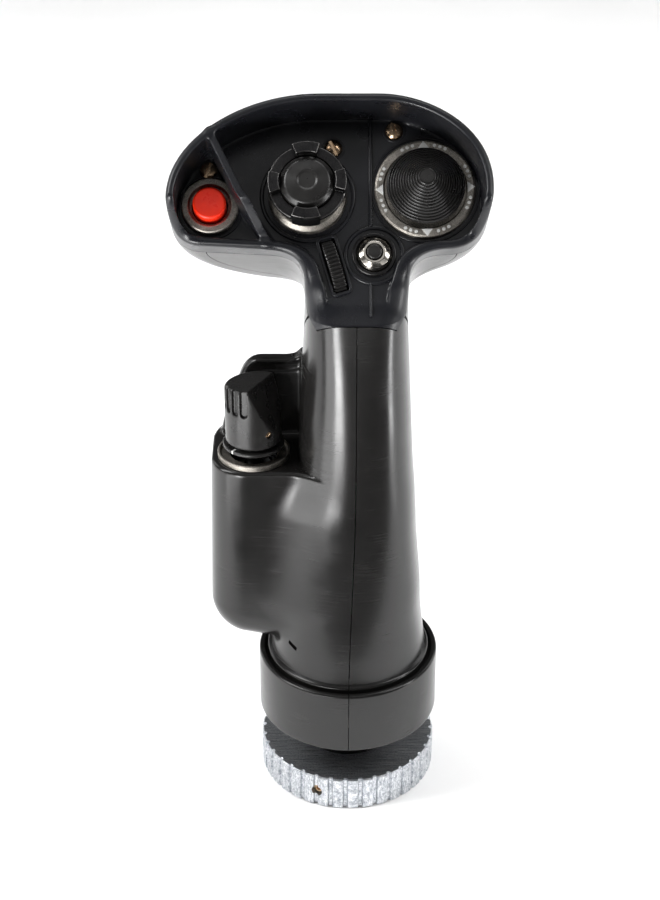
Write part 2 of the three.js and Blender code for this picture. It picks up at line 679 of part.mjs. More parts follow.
// Castle switch: a crown with four merlons that tilts two ways and presses down.
const CROWN_R = 12.4;
const CROWN_BOTTOM = 6.8;
const CROWN_TOP = 18;
const crownBody = turned([
  [0, -PIVOT_DEPTH - 1.3], [STEM_R, -PIVOT_DEPTH - 1.3], [STEM_R, CROWN_BOTTOM],
  [CROWN_R - 1, CROWN_BOTTOM], [CROWN_R, CROWN_BOTTOM + 1], [CROWN_R, CROWN_TOP],
  [CROWN_R - 2.6, CROWN_TOP], [CROWN_R - 3.4, 12], [0, 12],
]);
const crenels = [0, 1].map((i) => toSolid(new THREE.BoxGeometry(40, 8.6, 10)
  .rotateZ(THREE.MathUtils.degToRad(35 + 90 * i)).translate(0, 0, 18.6)));
placeOnPanel('castle_crown', cut(crownBody, ...crenels), GUNMETAL, CASTLE_AT);
placeOnPanel('castle_dome', turned([
  [0, 12.3], [8.4, 12.3], [8.4, 15], [7.2, 16.1], [4, 17], [0, 17.3],
], 20), CONTROL_PLASTIC, CASTLE_AT);
placeOnPanel('castle_bezel', turned([
  [8, GAP], [11.5, GAP], [11.5, 2], [10.9, 2.6], [8, 2.6], [8, GAP],
]), BLASTED_METAL, CASTLE_AT);
placeOnPanel('castle_gimbal', gimbalRing, STEEL, CASTLE_AT);
placeOnPanel('castle_plunger', plungerCup, STEEL, CASTLE_AT);
placeOnPanel('castle_switch', switchCan(SWITCH_R, 7.6, BELOW_PANEL, 7, 17), SWITCH_PLASTIC,
  CASTLE_AT);

// Trim hat: a cone of concentric ridges that tilts two ways.
const TRIM_R = 12.5;
const TRIM_RIM = 5.2;
const TRIM_TIP = 14;
const TRIM_RIDGES = 5;
const trimProfile = [
  [0, -PIVOT_DEPTH - 1.3], [STEM_R, -PIVOT_DEPTH - 1.3], [STEM_R, 4], [TRIM_R - 0.6, 4],
  [TRIM_R, 4.6], [TRIM_R, TRIM_RIM],
];
for (let i = 0; i < TRIM_RIDGES; i += 1) {
  const fraction = (i + 0.4) / TRIM_RIDGES;
  const height = TRIM_RIM + (TRIM_TIP - TRIM_RIM) * fraction;
  const radius = TRIM_R * (1 - fraction);
  trimProfile.push([radius - 0.9, height - 0.5], [radius - 0.4, height + 0.5]);
}
trimProfile.push([0, TRIM_TIP]);
placeOnPanel('trim_cap', turned(trimProfile), CONTROL_PLASTIC, TRIM_AT);
placeOnPanel('trim_bezel', turned([
  [7.6, GAP], [16.1, GAP], [16.1, 1.3], [15.5, 1.8], [7.6, 1.8], [7.6, GAP],
]), BLASTED_METAL, TRIM_AT);
placeOnPanel('trim_gimbal', gimbalRing, STEEL, TRIM_AT);
placeOnPanel('trim_switch', switchCan(SWITCH_R, 6.3, BELOW_PANEL, 4.6, 13), SWITCH_PLASTIC, TRIM_AT);

// Small push button with a polished dome round its tip.
placeOnPanel('small_button_tip', turned([
  [0, -7], [2.4, -7], [2.4, 4.4], [1.7, 5], [0, 5.2],
], 16), CONTROL_PLASTIC, SMALL_AT);
placeOnPanel('small_button_dome', turned([
  [2.7, -2.2], [5.1, -2.2], [5.1, GAP], [5.6, GAP], [5.6, 1.4], [4.8, 3], [3.4, 4], [2.7, 4.1],
  [2.7, -2.2],
], 20), NICKEL, SMALL_AT);
placeOnPanel('small_button_collar', annulus(5.9, 7, GAP, 1.7, 24), BLASTED_METAL, SMALL_AT);
placeOnPanel('small_button_switch', switchCan(4.2, 2.8, -6, 3, 8), SWITCH_PLASTIC, SMALL_AT);

// Thumbwheel with a ribbed edge.
const WHEEL_RIBS = 30;
const wheelShape = new THREE.Shape();
for (let i = 0; i < 2 * WHEEL_RIBS; i += 1) {
  const angle = Math.PI * (i + 0.5) / WHEEL_RIBS;
  const radius = i % 4 < 2 ? WHEEL_R : WHEEL_R - 0.6;
  const at = [radius * Math.cos(angle), radius * Math.sin(angle)];
  if (i === 0) wheelShape.moveTo(...at);
  else wheelShape.lineTo(...at);
}
wheelShape.holes.push(new THREE.Path().absarc(0, 0, 1.5, 0, 2 * Math.PI, true));
const wheelGeometry = new THREE.ExtrudeGeometry(wheelShape, { depth: WHEEL_W, bevelEnabled: false })
  .translate(0, 0, -WHEEL_W / 2).rotateY(Math.PI / 2);
place('thumbwheel', onWheel(wheelGeometry), CONTROL_PLASTIC, head);
place('thumbwheel_axle', onWheel(
  new THREE.CylinderGeometry(1.15, 1.15, 9.6, 16).rotateZ(Math.PI / 2),
), STEEL, head);

// ---------------------------------------------------------------- select knob

function placeOnPod(name, body, material, height = 0) {
  place(name, body, material).position.set(...KNOB_AT, height);
}

// The top slants a little down to the back left, a deep flat leans in on the right, and grooves for
// the thumb run down the front left.
const slantedCut = toSolid(new THREE.BoxGeometry(60, 60, 20)
  .translate(0, 0, 10).rotateX(THREE.MathUtils.degToRad(-8)).rotateZ(THREE.MathUtils.degToRad(53))
  .translate(0, 0, KNOB_TOP - 1));
const flatCut = toSolid(new THREE.BoxGeometry(20, 40, 60)
  .translate(10, 0, 0).rotateY(THREE.MathUtils.degToRad(-21)).translate(5.6, 0, 151)
  .rotateZ(THREE.MathUtils.degToRad(-27)));
const thumbGrooves = [];
for (let i = 0; i < 4; i += 1) {
  const angle = THREE.MathUtils.degToRad(191 + 20.5 * i);
  const reach = KNOB_R + 0.5;
  thumbGrooves.push(rod(1.2, 148.6, 170, reach * Math.cos(angle), reach * Math.sin(angle), 10));
}
const setScrewTurn = THREE.MathUtils.degToRad(-54);
const knobScrewHole = toSolid(new THREE.CylinderGeometry(1.3, 1.3, 8, 12)
  .rotateZ(Math.PI / 2).translate(KNOB_R, 0, KNOB_SCREW_Z).rotateZ(setScrewTurn));
const knobScrew = toSolid(new THREE.CylinderGeometry(1, 1, 2.6, 12)
  .rotateZ(Math.PI / 2).translate(KNOB_R - 2.6, 0, KNOB_SCREW_Z).rotateZ(setScrewTurn));
const KNOB_PIVOT = POD_TOP - PIVOT_DEPTH;
const knobBody = turned([
  [0, KNOB_PIVOT - 1.3], [STEM_R, KNOB_PIVOT - 1.3], [STEM_R, KNOB_BOTTOM - 2.1],
  [KNOB_SKIRT_R, KNOB_BOTTOM - 2.1], [KNOB_SKIRT_R, KNOB_BOTTOM - 0.9],
  [KNOB_R - 1, KNOB_BOTTOM - 0.9], [KNOB_R - 1, KNOB_BOTTOM], [KNOB_R - 0.6, KNOB_BOTTOM],
  [KNOB_R, KNOB_BOTTOM + 0.6], [KNOB_R, KNOB_TOP + 1], [0, KNOB_TOP + 1],
], 28);
placeOnPod('select_knob', cut(knobBody, slantedCut, flatCut, knobScrewHole, ...thumbGrooves),
  CONTROL_PLASTIC);
placeOnPod('select_set_screw', knobScrew, BRASS);
placeOnPod('select_base_ring', turned([
  [8, POD_TOP + GAP], [KNOB_BASE_R, POD_TOP + GAP], [KNOB_BASE_R, KNOB_BASE_TOP - 0.8],
  [11.3, KNOB_BASE_TOP], [8, KNOB_BASE_TOP], [8, POD_TOP + GAP],
]), BLASTED_METAL);
placeOnPod('select_gimbal', gimbalRing, STEEL, POD_TOP);
placeOnPod('select_plunger', plungerCup, STEEL, POD_TOP);
placeOnPod('select_switch', switchCan(SWITCH_R, 7.6, -GRIP_WALL - GAP, 6.6, 17), SWITCH_PLASTIC,
  POD_TOP);

// ---------------------------------------------------------------- trigger and paddle

// A coil spring round a pin along X.
function pinSpring(pivot, width) {
  const turns = 3;
  const points = [];
  for (let i = 0; i <= turns * 10; i += 1) {
    const angle = 2 * Math.PI * i / 10;
    points.push([
      SEAM_X + width * (i / (turns * 10) - 0.5),
      pivot[0] + 2.45 * Math.cos(angle),
      pivot[1] + 2.45 * Math.sin(angle),
    ]);
  }
  return bentRod(points, 0.35, turns * 10, 5);
}

// A lever seen from the side, with a bore for its pin and a slot for its spring.
function lever(sideShape, pivot, width) {
  const half = width / 2;
  const blade = extruded(sideShape, 'x', SEAM_X - half, SEAM_X + half, 6);
  const bore = crossRod(PIN_R + 0.25, -20, 20, ...pivot);
  const springRoom = crossRod(3.3, SEAM_X - 2.6, SEAM_X + 2.6, ...pivot);
  return cut(blade, bore, springRoom);
}

const triggerShape = new THREE.Shape();
triggerShape.moveTo(20.6, 161);
triggerShape.quadraticCurveTo(24, 157, 29, 157);
triggerShape.quadraticCurveTo(32, 153, 31.2, 146);
triggerShape.quadraticCurveTo(30.8, 138, 33, 133.5);
triggerShape.quadraticCurveTo(36, 131.5, 38.4, 134);
triggerShape.quadraticCurveTo(36.4, 142, 37, 150);
triggerShape.quadraticCurveTo(37, 160, 30, 165.6);
triggerShape.quadraticCurveTo(25, 168.4, 21, 166);
triggerShape.quadraticCurveTo(19, 163.5, 20.6, 161);
place('trigger', lever(triggerShape, TRIGGER_PIVOT, TRIGGER_W), CONTROL_PLASTIC);

const paddleShape = new THREE.Shape();
paddleShape.moveTo(17.8, 105);
paddleShape.quadraticCurveTo(21, 102, 27, 102.4);
paddleShape.quadraticCurveTo(31, 98, 32, 88);
paddleShape.quadraticCurveTo(33, 74, 36.4, 63);
paddleShape.quadraticCurveTo(39.5, 62, 40.5, 64.5);
paddleShape.quadraticCurveTo(37, 76, 36, 90);
paddleShape.quadraticCurveTo(35, 104, 29, 109);
paddleShape.quadraticCurveTo(23, 112.2, 18, 109.5);
paddleShape.quadraticCurveTo(16.6, 107, 17.8, 105);
place('paddle', lever(paddleShape, PADDLE_PIVOT, PADDLE_W), CONTROL_PLASTIC);

for (const [name, pivot] of [['trigger', TRIGGER_PIVOT], ['paddle', PADDLE_PIVOT]]) {
  place(`${name}_pin`, crossRod(PIN_R, SEAM_X - 8.1, SEAM_X + 8.1, ...pivot, 12), STEEL);
  place(`${name}_spring`, pinSpring(pivot, 4.2), STEEL);
}

// A snap switch with a round plunger that points at its lever.
function snapSwitch(low, high, plungerY, plungerZ) {
  const plunger = new THREE.CylinderGeometry(1, 1, 3, 10).translate(SEAM_X, plungerY, plungerZ);
  return join(block(low, high), toSolid(plunger));
}

place('trigger_microswitch', snapSwitch([-0.9, 3.6, 147], [5.1, 11.4, 157], 12, 153), SWITCH_PLASTIC);
place('paddle_microswitch', snapSwitch([-0.9, 6, 83], [5.1, 15, 96], 16, 92), SWITCH_PLASTIC);

// ---------------------------------------------------------------- lower push button

// A profile of [radius, y] points turned about a line along Y.
function turnedAlongY(profile, sides) {
  const points = profile.map(([radius, y]) => new THREE.Vector2(radius, y));
  return toSolid(new THREE.LatheGeometry(points, sides).translate(SEAM_X, 0, LOWER_BUTTON_Z));
}

place('lower_button_cap', turnedAlongY([
  [0, 17.6], [4.4, 17.6], [4.4, 26.4], [3.6, 27.2], [0, 27.4],
], 20), CONTROL_PLASTIC);
place('lower_button_bushing', turnedAlongY([
  [4.75, 18], [6.6, 18], [6.6, 24.6], [6, 25.2], [4.75, 25.2], [4.75, 18],
], 20), BLASTED_METAL);
place('lower_button_switch', turnedAlongY([[0, 8], [5.8, 8], [5.8, 14.8], [0, 14.8]], 20),
  SWITCH_PLASTIC);

// ---------------------------------------------------------------- electronics

const boardBody = block([-7.4, -16, 74], [11.6, -14.4, 126]);
const chips = [[0, 84, 8], [2, 100, 6], [1, 116, 7]].map(([x, z, size]) => (
  block([x - size / 2, -14.6, z - size / 2], [x + size / 2, -12.8, z + size / 2])
));
place('circuit_board', join(boardBody, ...chips), BOARD);

place('wire_harness', bentRod([
  [0, 0, 12.6], [0, 0, 40], [1, 0, 66], [1.4, -2, 100], [1.6, -5, 128], [1.8, -5, 143],
  [2, 4, 164], [2.1, 13.6, 174.2], [2.1, 22, 183.2], [2.1, 27, 191.5],
], 2.4, 30, 6), WIRE_SLEEVE);

export default joystick;
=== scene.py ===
import json
import math

import bpy
import numpy as np
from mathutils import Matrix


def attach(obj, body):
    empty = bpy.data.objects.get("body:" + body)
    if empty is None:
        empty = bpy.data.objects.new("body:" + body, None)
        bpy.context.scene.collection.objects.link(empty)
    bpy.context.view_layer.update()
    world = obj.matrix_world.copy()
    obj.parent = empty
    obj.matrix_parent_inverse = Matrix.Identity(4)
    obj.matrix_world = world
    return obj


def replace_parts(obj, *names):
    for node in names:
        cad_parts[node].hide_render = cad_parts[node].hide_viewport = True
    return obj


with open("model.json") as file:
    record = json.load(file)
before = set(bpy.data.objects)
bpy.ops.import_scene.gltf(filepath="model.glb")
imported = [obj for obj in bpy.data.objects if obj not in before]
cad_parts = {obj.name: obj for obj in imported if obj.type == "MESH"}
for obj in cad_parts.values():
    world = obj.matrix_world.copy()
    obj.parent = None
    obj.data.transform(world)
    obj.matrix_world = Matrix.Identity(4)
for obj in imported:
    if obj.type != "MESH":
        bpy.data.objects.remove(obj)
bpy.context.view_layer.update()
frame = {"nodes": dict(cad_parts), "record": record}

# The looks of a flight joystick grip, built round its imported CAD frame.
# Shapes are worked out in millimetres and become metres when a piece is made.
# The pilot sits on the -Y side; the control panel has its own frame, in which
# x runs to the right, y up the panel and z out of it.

import openvdb as vdb
from mathutils import Matrix, Vector

MM = 0.001

# -------- dimensions

HEAD_ORIGIN = Vector((2.09, -16.0, 184.6))
HEAD_TILT = math.radians(48.5)
PANEL = Matrix.Translation(HEAD_ORIGIN) @ Matrix.Rotation(HEAD_TILT, 4, "X")
TO_PANEL = PANEL.inverted()

SEAM_X = 2.1                # lean of the grip's centre line at the top
SEAM_GAP = 0.13             # half the gap between neighbouring shells
SIDE_SEAM = 5.0             # height of the side seam above the head's foot
PARTING = -5.0              # plane where the bezel meets the rear shell

POD_TOP = 130.0
HOOD_H = 18.0
LIP_H = 3.2
WALL = 2.6
PANEL_T = 2.5
WING_BOTTOM = 25.0
DOME_DEPTH = 32.0
DOME_CENTRE_X = -8.0

COLLAR_R = 31.49
COLLAR_BOTTOM = 26.4
COLLAR_TOP = 50.5
RING_R = 31.0
RING_H = 13.0
RING_FLUTES = 36

KNOB_R = 9.3
KNOB_BOTTOM = 136.4
KNOB_TOP = 158.5

# -------- fields
# A field is a function of x, y and z that is negative inside a shape and grows
# by about one for each millimetre outwards.


def smooth_min(a, b, reach):
    """The union of two fields with a fillet of about that reach."""
    overlap = np.clip(reach - np.abs(a - b), 0, None) / reach
    return np.minimum(a, b) - overlap * overlap * reach / 4


def round_max(a, b, radius):
    """The intersection of two fields with a rounded edge."""
    corner = np.hypot(np.maximum(a + radius, 0), np.maximum(b + radius, 0))
    return corner + np.minimum(np.maximum(a, b) + radius, 0) - radius


def step_between(value, low, high):
    """0 below low, 1 above high, and a smooth step between them."""
    share = np.clip((value - low) / (high - low), 0, 1)
    return share * share * (3 - 2 * share)


def smooth_line(points):
    """A smooth function of height through (height, value) points."""
    heights, values = (np.array(column, float) for column in zip(*points))
    slopes = np.gradient(values, heights)

    def at(z):
        z = np.clip(z, heights[0], heights[-1])
        i = np.clip(np.searchsorted(heights, z, side="right") - 1, 0, len(heights) - 2)
        width = heights[i + 1] - heights[i]
        t = (z - heights[i]) / width
        start = (1 + 2 * t) * (1 - t) ** 2 * values[i] + t * (1 - t) ** 2 * width * slopes[i]
        end = t * t * (3 - 2 * t) * values[i + 1] + t * t * (t - 1) * width * slopes[i + 1]
        return start + end

    return at


def bezier(*controls, steps=14):
    """Points of a curve through its first and last control, without the first."""
    t = np.linspace(0, 1, steps + 1)[1:, None]
    rows = [np.array(p, float) for p in controls]
    while len(rows) > 1:
        rows = [(1 - t) * a + t * b for a, b in zip(rows, rows[1:])]
    return [tuple(p) for p in rows[0]]


def segment_distance(x, y, start, end):
    ex, ey = end[0] - start[0], end[1] - start[1]
    share = np.clip(((x - start[0]) * ex + (y - start[1]) * ey) / (ex * ex + ey * ey), 0, 1)
    return np.hypot(x - start[0] - ex * share, y - start[1] - ey * share)


def polygon_distance(points, x, y):
    """Signed distance from a closed outline, negative inside."""
    nearest = np.full(np.broadcast(x, y).shape, np.inf)
    inside = np.zeros(nearest.shape, bool)
    for start, end in zip(points, points[1:] + points[:1]):
        nearest = np.minimum(nearest, segment_distance(x, y, start, end))
        if start[1] != end[1]:
            slope = (end[0] - start[0]) / (end[1] - start[1])
            inside ^= ((start[1] > y) != (end[1] > y)) & (x < start[0] + (y - start[1]) * slope)
    return np.where(inside, -nearest, nearest)


class Plan:
    """The signed distance of an outline, held on a grid and read back smoothly."""

    def __init__(self, points, margin=14.0, cell=0.2):
        corners = np.array(points, float)
        self.low = corners.min(0) - margin
        self.cell = cell
        counts = np.ceil((corners.max(0) + margin - self.low) / cell).astype(int) + 2
        x, y = (self.low[i] + cell * np.arange(counts[i]) for i in range(2))
        self.table = polygon_distance(points, x[:, None], y[None, :])

    def __call__(self, x, y):
        u = np.clip((x - self.low[0]) / self.cell, 0, self.table.shape[0] - 1.001)
        v = np.clip((y - self.low[1]) / self.cell, 0, self.table.shape[1] - 1.001)
        i, j = u.astype(int), v.astype(int)
        s, t = u - i, v - j
        left = self.table[i, j] * (1 - t) + self.table[i, j + 1] * t
        right = self.table[i + 1, j] * (1 - t) + self.table[i + 1, j + 1] * t
        return left * (1 - s) + right * s


# -------- solids
# A solid is a closed mesh: an array of vertices and a list of faces.


def outward(vertices, faces):
    """The same solid with its faces pointing out."""
    vertices = np.array(vertices, float)
    volume = 0.0
    for face in faces:
        a = vertices[face[0]]
        for j in range(1, len(face) - 1):
            volume += a @ np.cross(vertices[face[j]], vertices[face[j + 1]])
    if volume < 0:
        faces = [tuple(reversed(face)) for face in faces]
    return vertices, faces


def skin(field, low, high, cell):
    """The surface of a field inside a box, with its vertices drawn onto the surface."""
    low, high = np.array(low, float), np.array(high, float)
    counts = np.ceil((high - low) / cell).astype(int) + 1
    axes = [low[i] + cell * np.arange(counts[i]) for i in range(3)]
    x, y, z = np.meshgrid(*axes, indexing="ij", sparse=True)
    values = np.array(np.broadcast_to(field(x, y, z), counts), np.float32)
    border = np.pad(np.zeros(counts - 2, bool), 1, constant_values=True)
    values[border] = np.maximum(values[border], 0.5 * cell)
    grid = vdb.FloatGrid(4.0 * cell)
    grid.copyFromArray(values, tolerance=0)
    points, quads = grid.convertToQuads(isovalue=0.0)
    points = low + points.astype(float) * cell
    nudge = 0.25 * cell
    for _ in range(3):
        value = field(*points.T)
        slope = np.stack([
            field(*(points + nudge * axis).T) - field(*(points - nudge * axis).T)
            for axis in np.eye(3)
        ], axis=1) / (2 * nudge)
        square = np.maximum((slope ** 2).sum(1), 0.2)
        move = -(value / square)[:, None] * slope
        size = np.linalg.norm(move, axis=1, keepdims=True)
        points += move * np.minimum(1, 0.5 * cell / np.maximum(size, 1e-9))
    corners = points[quads]
    normals = np.cross(corners[:, 2] - corners[:, 0], corners[:, 3] - corners[:, 1])
    if (normals * corners.mean(1)).sum() < 0:
        quads = quads[:, ::-1]
    return points, [tuple(quad) for quad in quads.tolist()]


def turned(levels, segments=96):
    """A body turned about Z from (radius, height) levels. A radius may be a function of the angle.
    Levels that start and end at radius 0 close on the axis, and others close on themselves."""
    angles = 2 * math.pi * np.arange(segments) / segments
    vertices, rows = [], []
    for radius, height in levels:
        first = len(vertices)
        if not callable(radius) and radius < 1e-6:
            vertices.append((0.0, 0.0, height))
            rows.append([first] * segments)
            continue
        reach = radius(angles) if callable(radius) else np.full(segments, float(radius))
        vertices += list(zip(reach * np.cos(angles), reach * np.sin(angles), [height] * segments))
        rows.append(list(range(first, first + segments)))
    closed = not (len(set(rows[0])) == 1 and len(set(rows[-1])) == 1)
    pairs = list(zip(rows, rows[1:])) + ([(rows[-1], rows[0])] if closed else [])
    faces = []
    for low, high in pairs:
        for i in range(segments):
            j = (i + 1) % segments
            face = tuple(dict.fromkeys((low[i], low[j], high[j], high[i])))
            if len(face) > 2:
                faces.append(face)
    return outward(vertices, faces)


def softened(corners, steps=5):
    """(radius, height, fillet) corners as a profile whose corners are rounded."""
    profile = []
    count = len(corners)
    for i, (r, z, fillet) in enumerate(corners):
        here = np.array((r, z), float)
        if not fillet:
            profile.append((r, z))
            continue
        before = np.array(corners[i - 1][:2], float) - here
        after = np.array(corners[(i + 1) % count][:2], float) - here
        before /= np.linalg.norm(before)
        after /= np.linalg.norm(after)
        half = 0.5 * math.acos(float(np.clip(before @ after, -1, 1)))
        reach = fillet / math.tan(half)
        start, end = here + before * reach, here + after * reach
        middle = here + (before + after) / np.linalg.norm(before + after) * fillet / math.sin(half)
        for k in range(steps + 1):
            spoke = (1 - k / steps) * (start - middle) + k / steps * (end - middle)
            spoke *= fillet / np.linalg.norm(spoke)
            profile.append(tuple(middle + spoke))
    return profile


def rod(radius, bottom, top, segments=48):
    return turned([(0, bottom), (radius, bottom), (radius, top), (0, top)], segments)


def prism(outline, low, high):
    """A closed outline in x and z swept along y, used as a cutting tool."""
    count = len(outline)
    points = [(x, y, z) for y in (low, high) for x, z in outline]
    walls = [(i, (i + 1) % count, count + (i + 1) % count, count + i) for i in range(count)]
    caps = [tuple(range(count))[::-1], tuple(range(count, 2 * count))]
    return outward(points, walls + caps)


def block(low, high):
    """A box between two corners, used as a cutting tool."""
    (left, near, bottom), (right, far, top) = low, high
    return prism([(left, bottom), (right, bottom), (right, top), (left, top)], near, far)


def placed(solid, matrix):
    vertices, faces = solid
    spin = np.array(matrix.to_3x3())
    return vertices @ spin.T + np.array(matrix.translation), faces


def shifted(solid, x=0.0, y=0.0, z=0.0):
    return placed(solid, Matrix.Translation((x, y, z)))


def gathered(*solids):
    """Several solids as one mesh."""
    vertices, faces, count = [], [], 0
    for points, rings in solids:
        vertices.append(points)
        faces += [tuple(i + count for i in ring) for ring in rings]
        count += len(points)
    return np.concatenate(vertices), faces


def shape(name, solid):
    mesh = bpy.data.meshes.new(name)
    mesh.from_pydata(np.asarray(solid[0], float).tolist(), [], solid[1])
    mesh.update()
    thing = bpy.data.objects.new(name, mesh)
    bpy.context.scene.collection.objects.link(thing)
    return thing


def points_of(mesh):
    points = np.zeros(3 * len(mesh.vertices))
    mesh.vertices.foreach_get("co", points)
    return points.reshape(-1, 3)


def carved(solid, tools, operation="DIFFERENCE"):
    """The solid joined with, cut by or limited to each tool in turn."""
    body = shape("work", solid)
    for tool in tools:
        other = shape("tool", tool)
        step = body.modifiers.new("carve", "BOOLEAN")
        step.operation = operation
        step.solver = "MANIFOLD"
        step.object = other
        graph = bpy.context.evaluated_depsgraph_get()
        mesh = bpy.data.meshes.new_from_object(body.evaluated_get(graph))
        body.modifiers.clear()
        body.data = mesh
        bpy.data.objects.remove(other)
    solid = points_of(body.data), [tuple(face.vertices) for face in body.data.polygons]
    bpy.data.objects.remove(body)
    return solid


CREASE = math.radians(34)


def detail(name, solid, slot, body="grip", matrix=None, weighted=False, look=None):
    """A finished mesh that rides on a body, in its slot's look if it has none of its own."""
    if matrix is not None:
        solid = placed(solid, matrix)
    thing = shape(name, (solid[0] * MM, solid[1]))
    mesh = thing.data
    mesh.polygons.foreach_set("use_smooth", [True] * len(mesh.polygons))
    mesh.set_sharp_from_angle(angle=CREASE)
    mesh.materials.append(look or SLOT_LOOKS[slot])
    if weighted:
        thing.modifiers.new("even normals", "WEIGHTED_NORMAL").keep_sharp = True
    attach(thing, body)
    return thing


def piece(node, made, solid, slot, body="grip", matrix=None, weighted=True):
    """A finished mesh that stands for one CAD node."""
    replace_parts(detail(f"{node}_{made}", solid, slot, body, matrix, weighted), node)


def moulding(node, solid, slot, matrix=None, body="grip"):
    """A piece made from a skin, which is smooth enough without even normals."""
    piece(node, "moulding", solid, slot, body, matrix, weighted=False)


def turning(node, slot, matrix, corners, body="grip", segments=96, steps=5, made="turning"):
    """A turned piece, whose profile has rounded corners."""
    piece(node, made, turned(softened(corners, steps), segments), slot, body, matrix)


# -------- materials


class Finish:
    """Builds one material's nodes. Lengths are in millimetres on the object."""

    def __init__(self, name):
        self.material = bpy.data.materials.new(name)
        self.material.use_nodes = True
        self.tree = self.material.node_tree
        self.shader = self.tree.nodes["Principled BSDF"]
        self.place = self.node("ShaderNodeTexCoord").outputs["Object"]
        self.place = self.stretched((1 / MM,) * 3)

    def fill(self, node, values):
        """Gives a node's sockets the outputs of other nodes, or constants."""
        for name, value in values.items():
            socket = node.inputs[name.replace("_", " ")]
            if isinstance(value, bpy.types.NodeSocket):
                self.tree.links.new(value, socket)
            elif value is not None:
                socket.default_value = value

    def node(self, kind, **values):
        node = self.tree.nodes.new(kind)
        self.fill(node, values)
        return node

    def stretched(self, along, turn=0.0):
        """Coordinates turned about Z and multiplied by three factors."""
        return self.node("ShaderNodeMapping", Vector=self.place, Rotation=(0, 0, math.radians(turn)),
                         Scale=along).outputs["Vector"]

    def math(self, operation, *values):
        node = self.tree.nodes.new("ShaderNodeMath")
        node.operation = operation
        for socket, value in zip(node.inputs, values):
            if isinstance(value, bpy.types.NodeSocket):
                self.tree.links.new(value, socket)
            else:
                socket.default_value = value
        return node.outputs[0]

    def blend(self, first, second, share=0.6):
        """Two noise values mixed by weight."""
        return self.math("ADD", self.math("MULTIPLY", first, share),
                         self.math("MULTIPLY", second, 1 - share))

    def turned_round(self, radial, around, height):
        """Coordinates that run outwards, around and along the Z axis."""
        x, y, z = self.node("ShaderNodeSeparateXYZ", Vector=self.place).outputs
        squares = self.math("ADD", self.math("MULTIPLY", x, x), self.math("MULTIPLY", y, y))
        joined = self.node("ShaderNodeCombineXYZ",
                           X=self.math("MULTIPLY", self.math("SQRT", squares), radial),
                           Y=self.math("MULTIPLY", self.math("ARCTAN2", y, x), around),
                           Z=self.math("MULTIPLY", z, height))
        return joined.outputs[0]

    def noise(self, size, place=None, detail=3.0, roughness=0.55):
        return self.node("ShaderNodeTexNoise", Vector=place or self.place, Scale=1 / size,
                         Detail=detail, Roughness=roughness).outputs["Fac"]

    def ramp(self, value, low, high, start=0.3, end=0.7):
        """Maps a noise value from start..end to low..high."""
        return self.node("ShaderNodeMapRange", Value=value, From_Min=start, From_Max=end,
                         To_Min=low, To_Max=high).outputs["Result"]

    def mixed(self, share, first, second):
        """Two colours, of which the first may be an output, mixed by a share."""
        node = self.tree.nodes.new("ShaderNodeMix")
        node.data_type = "RGBA"
        first = (*first, 1) if isinstance(first, tuple) else first
        self.fill(node, {"Factor": share, "A": first, "B": (*second, 1)})
        return node.outputs["Result"]

    def worn(self, low=0.52, high=0.6):
        """1 on sharp outer edges and 0 elsewhere."""
        return self.ramp(self.node("ShaderNodeNewGeometry").outputs["Pointiness"], 0, 1, low, high)

    def relief(self, *heights):
        """Stacks (height, depth in millimetres) pairs as surface relief."""
        normal = None
        for height, depth in heights:
            normal = self.node("ShaderNodeBump", Distance=depth * MM, Height=height,
                               Normal=normal).outputs["Normal"]
        return normal

    def finished(self, colour, roughness, relief, **values):
        self.fill(self.shader, {"Base_Color": colour, "Roughness": roughness, "Normal": relief, **values})
        return self.material


def grip_plastic():
    """Black satin plastic with fine marks that run round the grip."""
    look = Finish("grip plastic")
    marks = look.noise(1.0, look.stretched((0.05, 0.05, 3.2)), detail=4)
    grain = look.noise(0.35)
    cloud = look.noise(14.0, detail=2)
    return look.finished(look.mixed(cloud, (0.010, 0.0097, 0.0095), (0.016, 0.0152, 0.0145)),
                         look.ramp(look.blend(marks, cloud), 0.16, 0.30),
                         look.relief((grain, 0.003), (marks, 0.0035)))


def metal(name, dark, light, rough, grain_size, grain_depth, wear=None, streak=None):
    """A metal with cast or blasted grain, uneven colour and worn edges."""
    look = Finish(name)
    grain = look.noise(grain_size)
    cloud = look.noise(4.0)
    colour = look.mixed(look.ramp(look.blend(grain, cloud), 0, 1), dark, light)
    if wear:
        colour = look.mixed(look.worn(), colour, wear)
    reliefs = [(grain, grain_depth)]
    if streak:
        reliefs.append((look.noise(1.0, look.stretched(streak)), 0.01))
    return look.finished(colour, look.ramp(cloud, *rough), look.relief(*reliefs), Metallic=1.0)


def ring_aluminium():
    """Bare machined aluminium: turned marks, straight scratches and a dull cast rim."""
    look = Finish("ring aluminium")
    lines = look.noise(1.0, look.turned_round(6.0, 5.0, 0.4), detail=4)
    scratches = look.noise(1.0, look.stretched((0.16, 4.5, 0.5), 28), detail=5, roughness=0.7)
    grain = look.noise(0.5, detail=4)
    share = look.blend(scratches, grain, 0.65)
    colour = look.mixed(look.ramp(share, 0, 1, 0.4, 0.6), (0.30, 0.33, 0.37), (0.92, 0.93, 0.95))
    return look.finished(colour, look.ramp(share, 0.5, 0.32, 0.35, 0.65),
                         look.relief((grain, 0.05), (scratches, 0.05), (lines, 0.02)), Metallic=1.0)


def painted(name, dark, light, rough, grain_size=0.3, grain_depth=0.008, size=4.0):
    """A moulded or painted surface with fine grain and slightly uneven colour."""
    look = Finish(name)
    cloud = look.noise(size)
    return look.finished(look.mixed(look.ramp(cloud, 0, 1), dark, light), look.ramp(cloud, *rough),
                         look.relief((look.noise(grain_size, detail=2), grain_depth)))


